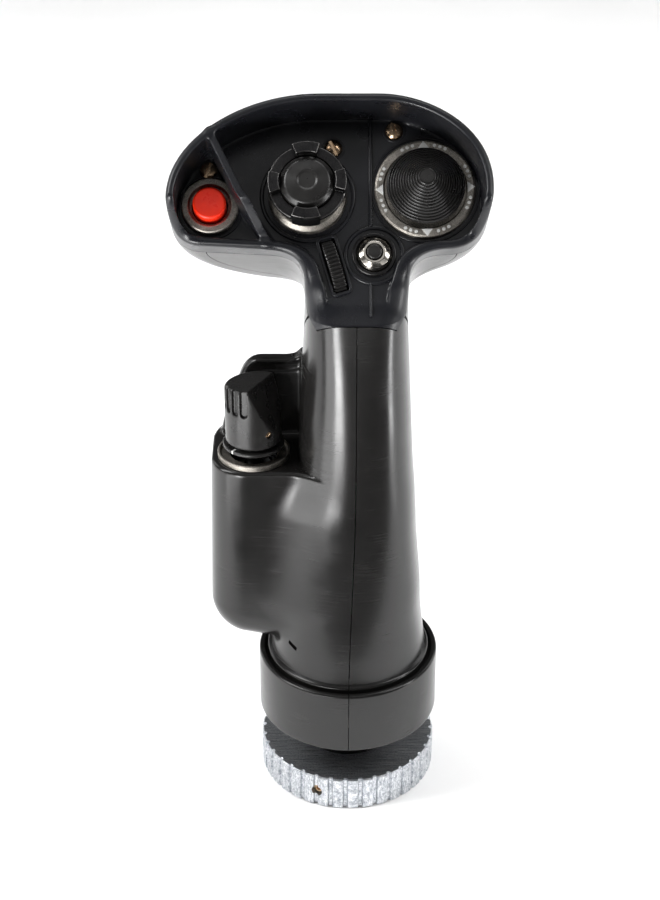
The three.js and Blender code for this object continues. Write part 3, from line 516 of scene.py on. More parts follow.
def plastic(name, dark, light, rough, grain_size, grain_depth, size, specular):
    """A hard plastic of nearly even colour with a fine matt texture."""
    look = Finish(name)
    cloud = look.noise(size, detail=2)
    return look.finished(look.mixed(cloud, dark, light), look.ramp(cloud, *rough),
                         look.relief((look.noise(grain_size, detail=2), grain_depth)),
                         Specular_IOR_Level=specular)


MARKING = painted("marking paint", (0.72, 0.72, 0.70), (0.86, 0.86, 0.84), (0.5, 0.65))

SLOT_LOOKS = {
    "grip_plastic": grip_plastic(),
    "head_plastic": plastic("head plastic", (0.0085, 0.009, 0.0115), (0.013, 0.0135, 0.0165),
                            (0.25, 0.35), 0.28, 0.012, 9.0, 0.45),
    "control_plastic": plastic("control plastic", (0.011, 0.0105, 0.0105), (0.02, 0.019, 0.018),
                               (0.24, 0.36), 0.22, 0.008, 5.0, 0.5),
    "ring_aluminium": ring_aluminium(),
    "blasted_metal": metal("blasted metal", (0.09, 0.083, 0.073), (0.74, 0.69, 0.62), (0.36, 0.52),
                           0.32, 0.1),
    "gunmetal": metal("gunmetal", (0.016, 0.016, 0.018), (0.07, 0.068, 0.068), (0.26, 0.42),
                      0.3, 0.02, wear=(0.30, 0.29, 0.28)),
    "polished_nickel": metal("polished nickel", (0.50, 0.47, 0.42), (0.74, 0.70, 0.64), (0.10, 0.2),
                             0.25, 0.003),
    "brass": metal("bronze", (0.42, 0.26, 0.15), (0.80, 0.60, 0.40), (0.16, 0.28), 0.4, 0.002),
    "steel": metal("steel", (0.30, 0.31, 0.32), (0.55, 0.56, 0.57), (0.22, 0.36), 0.3, 0.006,
                   streak=(0.1, 3.0, 3.0)),
    "red_plastic": painted("red plastic", (0.92, 0.02, 0.004), (1.0, 0.035, 0.008), (0.26, 0.38), 0.5),
    "switch_plastic": painted("switch plastic", (0.02, 0.021, 0.024), (0.035, 0.036, 0.04), (0.45, 0.6)),
    "circuit_board": painted("circuit board", (0.01, 0.09, 0.04), (0.02, 0.16, 0.07), (0.3, 0.5),
                             0.8, 0.03, 2.0),
    "wire_sleeve": painted("wire sleeve", (0.012, 0.012, 0.013), (0.03, 0.03, 0.032), (0.6, 0.8),
                           0.4, 0.1),
}


def dress_frame():
    """Gives every CAD node that stays in view the material of its slot."""
    for part in frame["record"]["subparts"]:
        mesh = frame["nodes"][part["node"]].data
        mesh.materials.clear()
        mesh.materials.append(SLOT_LOOKS[part["material_slot"]])


# -------- grip

NEAR_Y = smooth_line([(40, -28.2), (46, -28), (53, -27.1), (64, -26.3), (82, -25), (102, -24),
                      (126, -22.4), (148, -20.4), (165, -18.4), (184.6, -16)])
FAR_Y = smooth_line([(40, 28.2), (46, 28), (53, 27.1), (64, 26.3), (82, 25.2), (102, 24.2),
                     (124, 23), (138, 22.6), (146, 23), (149.5, 23.7), (163.1, 26.4),
                     (173.8, 27.9), (185.2, 28.6), (200, 28.8)])
HALF_WIDTH = smooth_line([(40, 28.2), (46, 28), (53, 27), (60, 26), (69, 24.8), (81, 23.9),
                          (91, 22.7), (102, 21.5), (110, 20.9), (118, 20.3), (128, 19.4),
                          (138, 18.8), (149, 18.3), (157, 17.9), (164, 17.6), (173, 17.1),
                          (185, 16.7), (200, 16.6)])
ROUNDNESS = smooth_line([(40, 2), (53, 2), (64, 2.1), (82, 2.3), (148, 2.35), (165, 2.5),
                         (184.6, 2.9), (200, 3)])
PANEL_SLOPE = math.tan(math.pi / 2 - HEAD_TILT)


def seam_x(z):
    return SEAM_X * step_between(z, 40, 130)


def core_field(x, y, z, near_side=True):
    """The hand grip and the stem above it, as a leaning column of rounded sections.
    Without its near side it reaches on towards the pilot."""
    near = np.where(z < HEAD_ORIGIN.z, NEAR_Y(z), HEAD_ORIGIN.y + (z - HEAD_ORIGIN.z) * PANEL_SLOPE)
    far = np.maximum(FAR_Y(z), near + 20)
    half, power = HALF_WIDTH(z), ROUNDNESS(z)
    middle, reach = (near + far) / 2, (far - near) / 2
    depth = (y - middle) / reach
    depth = np.abs(depth) if near_side else np.maximum(depth, 0)
    across = np.abs(x - seam_x(z)) / half
    size = (across ** power + depth ** power + 1e-9) ** (1 / power)
    return (size - 1) * np.minimum(half, reach)


POD_LEFT = 46.0
POD_TAPER = 0.026
POD_NEAR, POD_FAR = -15.1, 22.0
POD_CORNER = 12.0
POD_FOOT_Z, POD_FOOT_X, POD_FOOT_SLOPE = 57.5, -20.0, 0.2


def pod_field(x, y, z):
    """The pod's box with round edges, open towards the grip and above."""
    left = -x - POD_LEFT - POD_TAPER * (POD_TOP - z)
    foot = (POD_FOOT_Z + (POD_FOOT_X - x) * POD_FOOT_SLOPE - z) / math.hypot(1, POD_FOOT_SLOPE)
    sides = np.abs(y - (POD_NEAR + POD_FAR) / 2) - (POD_FAR - POD_NEAR) / 2
    gaps = [left + POD_CORNER, foot + POD_CORNER, sides + POD_CORNER]
    outside = np.sqrt(sum(np.maximum(gap, 0) ** 2 for gap in gaps))
    inside = np.minimum(np.maximum(np.maximum(gaps[0], gaps[1]), gaps[2]), 0)
    right = x + 7
    return np.maximum(outside + inside - POD_CORNER, right)


GUARD_TOP = 158.8
GUARD_OUTLINE = (
    [(-4, POD_TOP - 4), (-44.2, POD_TOP - 4), (-42.4, 135), (-37.2, 150.6)]
    + bezier((-37.2, 150.6), (-35.8, 155.2), (-33.6, GUARD_TOP), (-29, GUARD_TOP))
    + [(-20.5, GUARD_TOP), (-18, 159.3), (-16, 161.2), (-4, 161.4)]
)
GUARD_NEAR, GUARD_FAR = 11.5, 15.8
GUARD_LEDGE = 4.6           # how far the thick part of the wall stops below its top
guard_plan = Plan(GUARD_OUTLINE)


def guard_field(x, y, z):
    """The wall behind the select knob, which steps back below its rounded top."""
    plan = guard_plan(x, z)
    middle, half = (GUARD_NEAR + GUARD_FAR) / 2, (GUARD_FAR - GUARD_NEAR) / 2
    wall = round_max(plan, np.abs(y - middle) - half, 1.2)
    step = round_max(plan + GUARD_LEDGE, np.abs(y - middle + 0.5) - half, 0.45)
    bead = np.hypot(plan + 1.1, y - GUARD_NEAR - 0.3) - 0.55
    joined = np.minimum(wall, step)
    return smooth_min(joined, np.where(z > 140, bead, 9.0), 0.5)


def grip_field(x, y, z):
    core = core_field(x, y, z)
    reach = 11 - 5 * step_between(z, 112, POD_TOP) - 8 * step_between(-z, -80, -64)
    joined = smooth_min(core, pod_field(x, y, z), reach)
    body = np.minimum(core, round_max(joined, z - POD_TOP, 1.3))
    return smooth_min(body, guard_field(x, y, z), 2.2)


def grip_cavity(x, y, z):
    core = core_field(x, y, z) + 3.2
    pod = np.maximum(pod_field(x, y, z) + 3.4, z - (POD_TOP - 3.2))
    return np.minimum(core, pod)


COLLAR_PROFILE = softened([
    (15.9, COLLAR_BOTTOM, 0), (COLLAR_R, COLLAR_BOTTOM, 1.1), (COLLAR_R, COLLAR_TOP, 1.05),
    (29.3, COLLAR_TOP, 1.0), (29.0, 48.7, 0.5), (28.3, 48.7, 0.4), (28.5, 51.6, 1.1),
    (26.6, 52.6, 0.6), (24, 50.6, 0), (24, 30.3, 0), (15.9, 30.3, 0),
], steps=6)

# Each shell screw has a y, a z and the x of the surface at its head.
SHELL_SCREWS = [(14, 64, 23.4), (8, 78, 24.0), (8, 142, 18.6)]
SCREW_R, SCREW_HEAD_R = 1.5, 3.0


def turn_about(axis, degrees):
    return Matrix.Rotation(math.radians(degrees), 4, axis)


def along_x(y, z):
    """The frame of a turned piece whose axis runs along X."""
    return Matrix.Translation((0, y, z)) @ turn_about("Y", 90)


def side_of_seam(side):
    """Everything on one side of the seam, as a cutting tool."""
    heights = np.concatenate([[10], np.linspace(36, 134, 50), [240]])
    edge = [(seam_x(z) + side * SEAM_GAP, z) for z in heights]
    return prism(edge + [(side * 90, 240), (side * 90, 10)], -70, 70)


FLARE_SLOT = Matrix.Translation((-20.5, -18.6, 62)) @ turn_about("Z", -48) @ turn_about("Y", 13)


def grip_shells():
    """The two moulded halves of the grip."""
    outer = skin(grip_field, (-49.5, -30, 42), (30, 34, 212), 0.62)
    cavity = skin(grip_cavity, (-49.5, -30, 40), (30, 34, 214), 1.6)
    body = carved(outer, [block((-60, -60, 30), (60, 60, 49.6))])
    body = carved(body, [turned(COLLAR_PROFILE, 200)], "UNION")
    slot = 4.9                  # half the width of the paddle's slot
    tools = [
        carved(cavity, [block((-60, -60, 30), (60, 60, 46))]),
        rod(23.6, 44, 48),
        shifted(rod(7.6, 120, 140), *knob_axis()),
        placed(rod(6.9, 10, 40), LOWER_BUTTON),
        block((SEAM_X - slot, 12, 100.4), (SEAM_X + slot, 40, 112.4)),
        placed(block((-2.2, -3, -0.8), (2.2, 3.4, 0.8)), FLARE_SLOT),
    ]
    for y, z, surface in SHELL_SCREWS:
        drill, sink = rod(SCREW_R + 0.3, -10, 40), rod(SCREW_HEAD_R + 0.3, surface - 3, 40)
        tools += [placed(drill, along_x(y, z)), placed(sink, along_x(y, z))]
    body = carved(body, tools)
    foot = placed(block((-90, -300, -200), (90, -SEAM_GAP, 200)), PANEL)
    back = placed(block((-90, -200, -200), (90, SIDE_SEAM - SEAM_GAP, PARTING - SEAM_GAP)), PANEL)
    body = carved(body, [carved(foot, [back], "UNION")], "INTERSECT")
    for node, side in (("left_grip_shell", -1), ("right_grip_shell", 1)):
        moulding(node, carved(body, [side_of_seam(side)], "INTERSECT"), "grip_plastic")


# -------- places from the frame


def node_middle(name):
    """The middle of a CAD node's vertices, in millimetres."""
    return Vector(points_of(frame["nodes"][name].data).mean(0) / MM)


def panel_spot(name):
    """The axis of a round CAD node, as a shift within the panel frame."""
    middle = TO_PANEL @ node_middle(name)
    return Matrix.Translation((middle.x, middle.y, 0))


def panel_place(name):
    """The panel frame shifted to the axis of a round CAD node."""
    return PANEL @ panel_spot(name)


def knob_axis():
    middle = node_middle("select_base_ring")
    return middle.x, middle.y


LOWER_BUTTON = (Matrix.Translation((SEAM_X, 0, node_middle("lower_button_cap").z))
                @ turn_about("X", -90))

# -------- head

HEAD_LEFT, HEAD_RIGHT, HEAD_TOP = -59.5, 42.4, 71.0
STEM_TOP = 45.0             # the stem ends inside the head here


def head_outline():
    """The head seen square to the panel, above the undersides of its wings."""
    left, right, top, bottom = HEAD_LEFT, HEAD_RIGHT, HEAD_TOP, WING_BOTTOM
    return (
        [(-27, bottom - 0.2), (-50, bottom + 1)]
        + bezier((-50, bottom + 1), (-56, bottom + 1.6), (left, bottom + 6), (left, 37))
        + bezier((left, 37), (left, 56), (-36, top), (-11.6, top), steps=24)
        + [(7.1, top)]
        + bezier((7.1, top), (21, top), (right, 61.5), (right, 40.6), steps=24)
        + bezier((right, 40.6), (right, bottom + 6), (37, bottom + 0.2), (29, bottom))
    )


head_plan = Plan(head_outline(), margin=20)


def world_of(a, b, c):
    """Panel coordinates turned into world coordinates."""
    cosine, sine = math.cos(HEAD_TILT), math.sin(HEAD_TILT)
    x, y, z = HEAD_ORIGIN
    return x + a, y + b * cosine - c * sine, z + b * sine + c * cosine


def rim_height(b):
    """Height of the rim above the panel: a low lip that sweeps up into the hood."""
    lip = LIP_H * step_between(b, 2, 13)
    return lip + (HOOD_H - LIP_H) * step_between(b, 27.5, 38)


def rim_radius(b):
    return 7.0 - 5.4 * step_between(b, 6, 27)


def rim_wall(b):
    return 7.0 - (7.0 - WALL) * step_between(b, 8, 26)


def head_sides(a, b, c):
    """The head's outline, which shrinks behind the parting plane as a dome does, and the stem."""
    sink = np.clip((PARTING - c) / DOME_DEPTH, 0, 0.995)
    across = np.sqrt(1 - sink ** 2.2)
    upward = 0.3 + 0.7 * across
    plan = head_plan(DOME_CENTRE_X + (a - DOME_CENTRE_X) / across,
                     WING_BOTTOM + (b - WING_BOTTOM) / upward) * upward
    beyond = PARTING - c - DOME_DEPTH
    plan = np.maximum(plan, beyond)
    x, y, z = world_of(a, b, c)
    stem = np.maximum(core_field(x, y, z, near_side=False), b - STEM_TOP)
    return smooth_min(plan, stem, 11)


def head_field(a, b, c):
    """The outside of the head, from the seam at its foot up."""
    x, y, z = world_of(a, b, c)
    core = core_field(x, y, z)
    full = round_max(head_sides(a, b, c), c - rim_height(b), rim_radius(b))
    share = step_between(b, -2, 15)
    return core * (1 - share) + full * share


FIN_LINE = [(-46.1, 58.3), (-37, 39.5), (-28.2, 27.0)]
FIN_HALF = 1.2


def fin_field(a, b, c):
    """The divider between the red button and the castle switch."""
    flat = np.minimum(segment_distance(a, b, FIN_LINE[0], FIN_LINE[1]),
                      segment_distance(a, b, FIN_LINE[1], FIN_LINE[2]))
    top = c - rim_height(b + 1.2) + 0.4
    return round_max(flat - FIN_HALF, top, 0.7)


def bezel_field(a, b, c):
    """The front of the head with its sunk panel, the rim and the divider."""
    outside = head_field(a, b, c)
    inset = round_max(head_sides(a, b, np.maximum(c, 0)) + rim_wall(b), -c, 0.6)
    hollow = np.where(b > -4, inset, 9.0)
    body = round_max(outside, -hollow, 0.9)
    fin = np.maximum(fin_field(a, b, c), outside)
    return smooth_min(body, np.maximum(fin, -c - 1), 1.6)


def head_cavity(a, b, c):
    """The space inside the head behind the panel."""
    return np.maximum(head_field(a, b, c) + WALL, c + PANEL_T)


def slot_rim(length, width):
    """A raised rim round a rectangular slot, along the local Y axis."""
    rim, corner = 0.9, 1.1

    def field(x, y, z):
        over_x = np.abs(x) - width / 2 + corner
        over_y = np.abs(y) - length / 2 + corner
        flat = (np.hypot(np.maximum(over_x, 0), np.maximum(over_y, 0))
                + np.minimum(np.maximum(over_x, over_y), 0) - corner)
        return round_max(np.abs(flat - rim / 2) - rim / 2, np.abs(z) - rim, 0.25)

    reach = (width / 2 + rim + 0.6, length / 2 + 1.6, rim + 0.5)
    return skin(field, [-r for r in reach], reach, 0.16)


def bar(width, height, start, end):
    """A straight bead with a rounded top along the panel's Y axis."""
    def field(x, y, z):
        along = np.maximum(np.maximum(start - y, y - end), 0)
        return np.maximum(round_max(np.hypot(x, along) - width / 2, z - height, 0.45), -z - 1.2)
    return skin(field, (-width, start - width, -1.5), (width, end + width, height + 0.4), 0.2)


WHEEL_AT = Vector((-7.15, 19.8, -7.9))
WHEEL_TURN = 16.4
WHEEL_FRAME = Matrix.Translation(WHEEL_AT) @ turn_about("Z", WHEEL_TURN)
WHEEL_R = 11.5
WHEEL_HALF = 2.0
SLOT_LENGTH = 17.6
SLOT_WIDTH = 5.0


def head_shells():
    """The bezel, the rear shell and the cover under the wings."""
    outside = skin(bezel_field, (-61, -8, -8), (44, 73, 19.5), 0.5)
    cavity = skin(head_cavity, (-61, -14, -40), (44, 73, 0), 1.5)
    corner = (SLOT_WIDTH / 2, SLOT_LENGTH / 2, 30)
    wheel_slot = placed(block((-corner[0], -corner[1], -6), corner), WHEEL_FRAME)
    holes = [("red_button_cap", 7.5), ("castle_crown", 7.0), ("trim_cap", 7.0), ("small_button_tip", 5.4)]
    drills = [placed(rod(radius, -12, 0.2), panel_spot(node)) for node, radius in holes]
    drills += [placed(rod(SCREW_R + 0.3, -12, 3), panel_spot(f"face_screw_{i}")) for i in (1, 2, 3)]
    front = block((-90, SEAM_GAP, PARTING + SEAM_GAP), (90, 120, 60))
    bezel = carved(carved(outside, [front], "INTERSECT"), [cavity, wheel_slot, *drills])
    moulding("head_front_bezel", gathered(bezel, *panel_beads()), "head_plastic", PANEL)

    dome = skin(head_field, (-61, -8, -40), (44, 73, -3), 0.62)
    behind = block((-90, SIDE_SEAM + SEAM_GAP, -90), (90, 120, PARTING - SEAM_GAP))
    trigger_slot = placed(block((SEAM_X - 5.2, 17.6, 154), (SEAM_X + 5.2, 60, 172)), TO_PANEL)
    rear = carved(carved(dome, [behind], "INTERSECT"), [cavity, trigger_slot])
    moulding("head_rear_shell", carved(rear, [cover_prism(SEAM_GAP)]), "grip_plastic", PANEL)
    cover = carved(rear, [cover_prism(-SEAM_GAP)], "INTERSECT")
    moulding("head_underside_cover", cover, "grip_plastic", PANEL)


COVER_REACH = (40.0, 26.0)


def cover_prism(offset):
    """The half-oval footprint of the cover under the wings, as a cutting tool."""
    reach = (COVER_REACH[0] + offset, COVER_REACH[1] + offset)
    angles = np.linspace(math.pi, 2 * math.pi, 65)
    outline = [(reach[0] * math.cos(t) + DOME_CENTRE_X, PARTING + reach[1] * math.sin(t)) for t in angles]
    outline += [(reach[0] + DOME_CENTRE_X, PARTING + 3), (DOME_CENTRE_X - reach[0], PARTING + 3)]
    return prism(outline, -20, WING_BOTTOM + WALL + 0.6 + offset)


RIDGE_X = 4.4
# Each raised ring has its control's node, a radius, half a width and a height.
RIDGE_RINGS = [("castle_crown", 14.6, 0.7, 0.7), ("small_button_tip", 9.1, 0.7, 0.7),
               ("trim_cap", 17.3, 0.35, 0.45), ("red_button_cap", 10.3, 0.4, 0.45)]


def panel_beads():
    """The raised lines, rims and low steps on the panel."""
    slot_frame = Matrix.Translation((WHEEL_AT.x, WHEEL_AT.y, 0)) @ turn_about("Z", WHEEL_TURN)
    return [
        shifted(bar(1.3, 1.0, 33.2, 68.2), x=RIDGE_X),
        shifted(bar(0.9, 0.8, 3.6, 14.0), x=RIDGE_X),
        *[placed(ridge_ring(*sizes), panel_spot(node)) for node, *sizes in RIDGE_RINGS],
        placed(slot_rim(SLOT_LENGTH + 0.6, SLOT_WIDTH + 0.2), slot_frame),
    ]


def ridge_ring(radius, half_width, height):
    """A thin raised ring on the panel."""
    inner, outer, fillet = radius - half_width, radius + half_width, 0.8 * half_width
    profile = [(inner, -1, 0), (outer, -1, 0), (outer, height, fillet), (inner, height, fillet)]
    return turned(softened(profile, 4), 144)


# -------- panel controls


def red_button():
    place = panel_place("red_button_cap")
    turning("red_button_cap", "red_plastic", place, [
        (0, -2.5, 0), (5.3, -2.5, 0.3), (5.3, 5.6, 0.9), (0, 5.95, 0),
    ], "red_button", made="moulding")
    turning("red_button_bezel", "blasted_metal", place, [
        (5.75, -2.2, 0), (7.2, -2.2, 0), (7.2, 0.05, 0), (9.15, 0.05, 0.2), (9.15, 2.6, 0.6),
        (8.7, 3.0, 0.4), (6.9, 3.2, 0.35), (6.5, 1.4, 0.3), (5.75, 1.2, 0.1),
    ], segments=128, steps=4)


CROWN_R = 12.3
CROWN_INNER = 8.9
CROWN_BOTTOM, CROWN_FLOOR = 6.8, 13.9
# Each merlon has a bearing, half an angle of width and a top.
MERLONS = [(92, 21, 17.9), (2, 17, 16.8), (182, 17, 16.8), (268, 22, 16.6)]


def crown_field(x, y, z):
    """A ring with four merlons on a shallow cup."""
    radius = np.hypot(x, y)
    tube = np.maximum(radius - CROWN_R, CROWN_INNER - radius)
    skirt = CROWN_R - 1.6 * step_between(z, 12.2, 9.2)
    ring = round_max(np.maximum(radius - skirt, CROWN_INNER - radius),
                     np.abs(z - (CROWN_BOTTOM + CROWN_FLOOR) / 2) - (CROWN_FLOOR - CROWN_BOTTOM) / 2, 0.35)
    bearing = np.degrees(np.arctan2(y, x))
    body = ring
    for middle, half, top in MERLONS:
        turn = np.abs((bearing - middle + 180) % 360 - 180)
        sides = (turn - half) * np.pi / 180 * radius
        merlon = round_max(round_max(sides, tube, 0.3), z - top, 0.35)
        body = np.minimum(body, np.maximum(merlon, CROWN_BOTTOM + 1 - z))
    floor = round_max(radius - CROWN_INNER - 0.5, np.abs(z - 9.4) - 2.5, 0.2)
    return np.minimum(body, floor)


def castle_switch():
    place = panel_place("castle_crown")
    window = placed(block((-2.9, 6.6, 14.4), (2.9, 12.2, 17.0)), turn_about("Z", 2))
    crown = skin(crown_field, (-13.2, -13.2, 6.0), (13.2, 13.2, 18.8), 0.22)
    crown = carved(carved(crown, [window]), [rod(2.6, -5.8, 9)], "UNION")
    piece("castle_crown", "turning", crown, "gunmetal", "castle_hat", place, weighted=False)
    turning("castle_dome", "control_plastic", place, [
        (0, 12.1, 0), (8.5, 12.1, 0.3), (8.5, 14.6, 1.2), (7.1, 16.2, 1.6), (3.3, 17.1, 0.7),
        (2.6, 16.7, 0.8), (0, 16.5, 0),
    ], "castle_hat", 128, 6, "moulding")
    turning("castle_bezel", "blasted_metal", place, [
        (8, 0.05, 0), (12.6, 0.05, 0.3), (12.2, 1.9, 0.9), (10.7, 3.2, 0.8), (8, 3.2, 0.3),
    ], segments=128)


TRIM_R, TRIM_RIM, TRIM_TIP, TRIM_TIP_R = 12.5, 5.0, 13.9, 2.4
TRIM_RIDGES = 13
RIDGE_LIFT = 0.6


def trim_profile():
    """A shallow cone whose face is a stair of fine round ridges, with a flat tip."""
    points = [(0, -5.8), (2.6, -5.8), (2.6, 3.9), (11.6, 3.9), (12.3, 4.2), (TRIM_R, 4.8)]
    steps = 8
    for i in range(TRIM_RIDGES * steps + 1):
        share = i / (TRIM_RIDGES * steps)
        radius = TRIM_R + (TRIM_TIP_R - TRIM_R) * share
        height = TRIM_RIM + (TRIM_TIP - TRIM_RIM) * share ** 1.12
        wave = abs(math.sin(math.pi * i / steps)) ** 0.8
        points.append((radius - 0.1 * wave, height + RIDGE_LIFT * wave))
    return points + [(TRIM_TIP_R - 0.3, TRIM_TIP + 0.1), (0, TRIM_TIP - 0.15)]


TRIM_MARKS = [92, 182, 272, 2]


def arrow_mark():
    """A small raised triangle that points outwards."""
    def field(x, y, z):
        slant = np.maximum(np.abs(y) * 0.8 + (x - 1.3) * 0.6, -x - 1.1)
        return round_max(slant, np.abs(z) - 0.09, 0.05)
    return skin(field, (-1.6, -2.2, -0.25), (1.8, 2.2, 0.25), 0.09)


def on_bezel(mark, bearing, radius):
    """A mark on the trim hat's bezel."""
    return placed(mark, turn_about("Z", bearing) @ Matrix.Translation((radius, 0, 1.98)))


def trim_hat():
    place = panel_place("trim_cap")
    piece("trim_cap", "turning", turned(trim_profile(), 128), "control_plastic", "trim_hat", place)
    turning("trim_bezel", "blasted_metal", place, [
        (7.6, 0.05, 0), (16.2, 0.05, 0.2), (16.1, 1.5, 0.5), (15.4, 1.95, 0.4), (13.4, 1.95, 0.3),
        (13.0, 1.3, 0.2), (7.6, 1.3, 0),
    ], segments=144)
    arrow, dot = arrow_mark(), rod(0.55, -0.08, 0.08, 24)
    marks = [on_bezel(arrow, bearing, 14.5) for bearing in TRIM_MARKS]
    marks += [on_bezel(dot, bearing + side, 14.6)
              for bearing in TRIM_MARKS for side in (-28, -21, -14, 14, 21, 28)]
    detail("trim_bezel_marks", gathered(*marks), "blasted_metal", matrix=place, look=MARKING)


def small_button():
    place = panel_place("small_button_tip")
    turning("small_button_tip", "control_plastic", place, [
        (0, -7, 0), (2.4, -7, 0), (2.4, 5.0, 0.6), (0, 5.2, 0),
    ], "small_button", 64, made="moulding")
    turning("small_button_dome", "polished_nickel", place, [
        (2.65, -2.2, 0), (5.1, -2.2, 0), (5.1, 0.3, 0), (5.6, 0.3, 0), (5.6, 1.6, 0.6),
        (4.9, 3.1, 1.0), (3.5, 4.2, 0.5), (2.65, 4.2, 0.25),
    ], steps=6)
    turning("small_button_collar", "gunmetal", place, [
        (5.85, 0.05, 0), (7.0, 0.05, 0), (7.0, 1.8, 0.45), (5.85, 1.8, 0.3),
    ])


WHEEL_RIBS = 54


def thumbwheel():
    """A narrow wheel with rounded ribs round its edge."""
    def ribbed(angles):
        return WHEEL_R - 0.3 + 0.3 * np.cos(WHEEL_RIBS * angles)

    def chamfered(angles):
        return ribbed(angles) - 0.45

    levels = [(1.5, -WHEEL_HALF), (10.2, -WHEEL_HALF), (chamfered, -WHEEL_HALF),
              (ribbed, 0.45 - WHEEL_HALF), (ribbed, WHEEL_HALF - 0.45), (chamfered, WHEEL_HALF),
              (10.2, WHEEL_HALF), (1.5, WHEEL_HALF)]
    piece("thumbwheel", "moulding", turned(levels, WHEEL_RIBS * 10), "control_plastic", "wheel",
          PANEL @ WHEEL_FRAME @ turn_about("Y", 90))


def screw_solid(radius, head, depth, slot_turn):
    """A domed screw with a straight slot, its shank pointing down."""
    def field(x, y, z):
        out = np.hypot(x, y)
        ball = np.sqrt(x * x + y * y + (z - head + 3.4) ** 2) - 3.4
        cap = round_max(out - radius, np.maximum(ball, -z), 0.25)
        slot = np.maximum(np.abs(x * math.cos(slot_turn) + y * math.sin(slot_turn)) - 0.5,
                          head - 1.2 - z)
        return np.maximum(cap, -slot)
    top = skin(field, (-radius - 0.3, -radius - 0.3, -0.3), (radius + 0.3, radius + 0.3, head + 0.4), 0.1)
    return gathered(top, rod(SCREW_R, -depth, 0.1, 32))


FACE_SLOTS = [(1, 2.75), (2, 0.45), (3, 0.25)]


def face_screws():
    for number, slot_turn in FACE_SLOTS:
        node = f"face_screw_{number}"
        place = panel_place(node)
        piece(node, "turning", screw_solid(2.9, 2.1, 12.8, slot_turn), "brass", matrix=place,
              weighted=False)
        cup = turned(softened([
            (3.05, -0.6, 0), (3.7, -0.6, 0), (3.7, 0.28, 0.2), (3.05, 0.28, 0.2),
        ], 3), 64)
        detail(node + "_seat", cup, "head_plastic", matrix=place)


# -------- select knob

GROOVE_BEARINGS = [191, 211.5, 232, 252.5]
GROOVE_FOOT, GROOVE_R = 148.6, 1.25
KNOB_SCREW_Z = 141.5
KNOB_SCREW_TURN = -54
KNOB_FLAT_TURN = math.radians(-27)
KNOB_SLOPES = (0.115, -0.088)     # rise of the slanted top along x and y
KNOB_CENTRE_TOP = 157.5
SKIRT_R = 10.2


def knob_field(x, y, z):
    """A round knob with a slanted top, a flat that leans in and grooves for the thumb."""
    radius = np.hypot(x, y)
    body = round_max(radius - KNOB_R, KNOB_BOTTOM - z, 0.6)
    rise = KNOB_CENTRE_TOP + KNOB_SLOPES[0] * x + KNOB_SLOPES[1] * y
    body = round_max(body, (z - rise) / math.hypot(1, *KNOB_SLOPES), 0.9)
    along = x * math.cos(KNOB_FLAT_TURN) + y * math.sin(KNOB_FLAT_TURN)
    flat = (along - 2.93) * 0.934 + (z - 158) * 0.358
    body = round_max(body, flat, 0.45)
    for bearing in GROOVE_BEARINGS:
        turn = math.radians(bearing)
        along = x * math.cos(turn) + y * math.sin(turn)
        across = -x * math.sin(turn) + y * math.cos(turn)
        slot = np.hypot(across, np.minimum(z - GROOVE_FOOT - GROOVE_R, 0)) - GROOVE_R
        groove = round_max(slot, KNOB_R - 1.15 - along, 0.5)
        body = round_max(body, -groove, 0.35)
    return body


def select_knob():
    x, y = knob_axis()
    place = Matrix.Translation((x, y, 0))
    reach = KNOB_R + 0.8
    knob = skin(knob_field, (-reach, -reach, KNOB_BOTTOM - 0.8), (reach, reach, KNOB_TOP + 1.5), 0.22)
    aim = (Matrix.Translation((0, 0, KNOB_SCREW_Z)) @ turn_about("Z", KNOB_SCREW_TURN)
           @ turn_about("Y", 90))
    skirt = turned(softened([
        (0, 124.2, 0), (2.6, 124.2, 0), (2.6, 134.3, 0), (SKIRT_R, 134.3, 0.2), (SKIRT_R, 135.5, 0.4),
        (8.2, 135.5, 0), (8.2, 137.2, 0), (0, 137.2, 0),
    ], 4), 96)
    knob = carved(carved(knob, [placed(rod(1.3, 5.4, 12), aim)]), [skirt], "UNION")
    moulding("select_knob", knob, "control_plastic", place, "select_hat")
    turning("select_set_screw", "brass", place @ aim, [
        (0, 5.5, 0), (1.15, 5.5, 0), (1.15, 8.8, 0.3), (0.5, 8.8, 0.1), (0, 8.0, 0),
    ], "select_hat", 32)
    turning("select_base_ring", "blasted_metal", place, [
        (8, 130.05, 0), (12.1, 130.05, 0.2), (12.1, 131.9, 0.35), (11.3, 132.1, 0.3), (10.9, 131.0, 0.3),
        (8, 131.0, 0.2),
    ], segments=128)
    index = placed(block((8.6, -0.32, 134.5), (10.27, 0.32, 135.6)), turn_about("Z", 228))
    detail("select_index_mark", index, "control_plastic", "select_hat", place, look=MARKING)


# -------- levers and lower button


def curved_outline(start, *arcs):
    """An outline of curves, each given as a control point and an end point."""
    points = [start]
    for control, end in arcs:
        points += bezier(points[-1], control, end, steps=12)
    return points[:-1]


TRIGGER_OUTLINE = curved_outline(
    (20.6, 161), ((24, 157), (29, 157)), ((32, 153), (31.2, 146)), ((30.8, 138), (33, 133.5)),
    ((36, 131.5), (38.4, 134)), ((36.4, 142), (37, 150)), ((37, 160), (30, 165.6)),
    ((25, 168.4), (21, 166)), ((19, 163.5), (20.6, 161)),
)
PADDLE_OUTLINE = curved_outline(
    (17.8, 105), ((21, 102), (27, 102.4)), ((31, 98), (32, 88)), ((33, 74), (36.4, 63)),
    ((39.5, 62), (40.5, 64.5)), ((37, 76), (36, 90)), ((35, 104), (29, 109)),
    ((23, 112.2), (18, 109.5)), ((16.6, 107), (17.8, 105)),
)


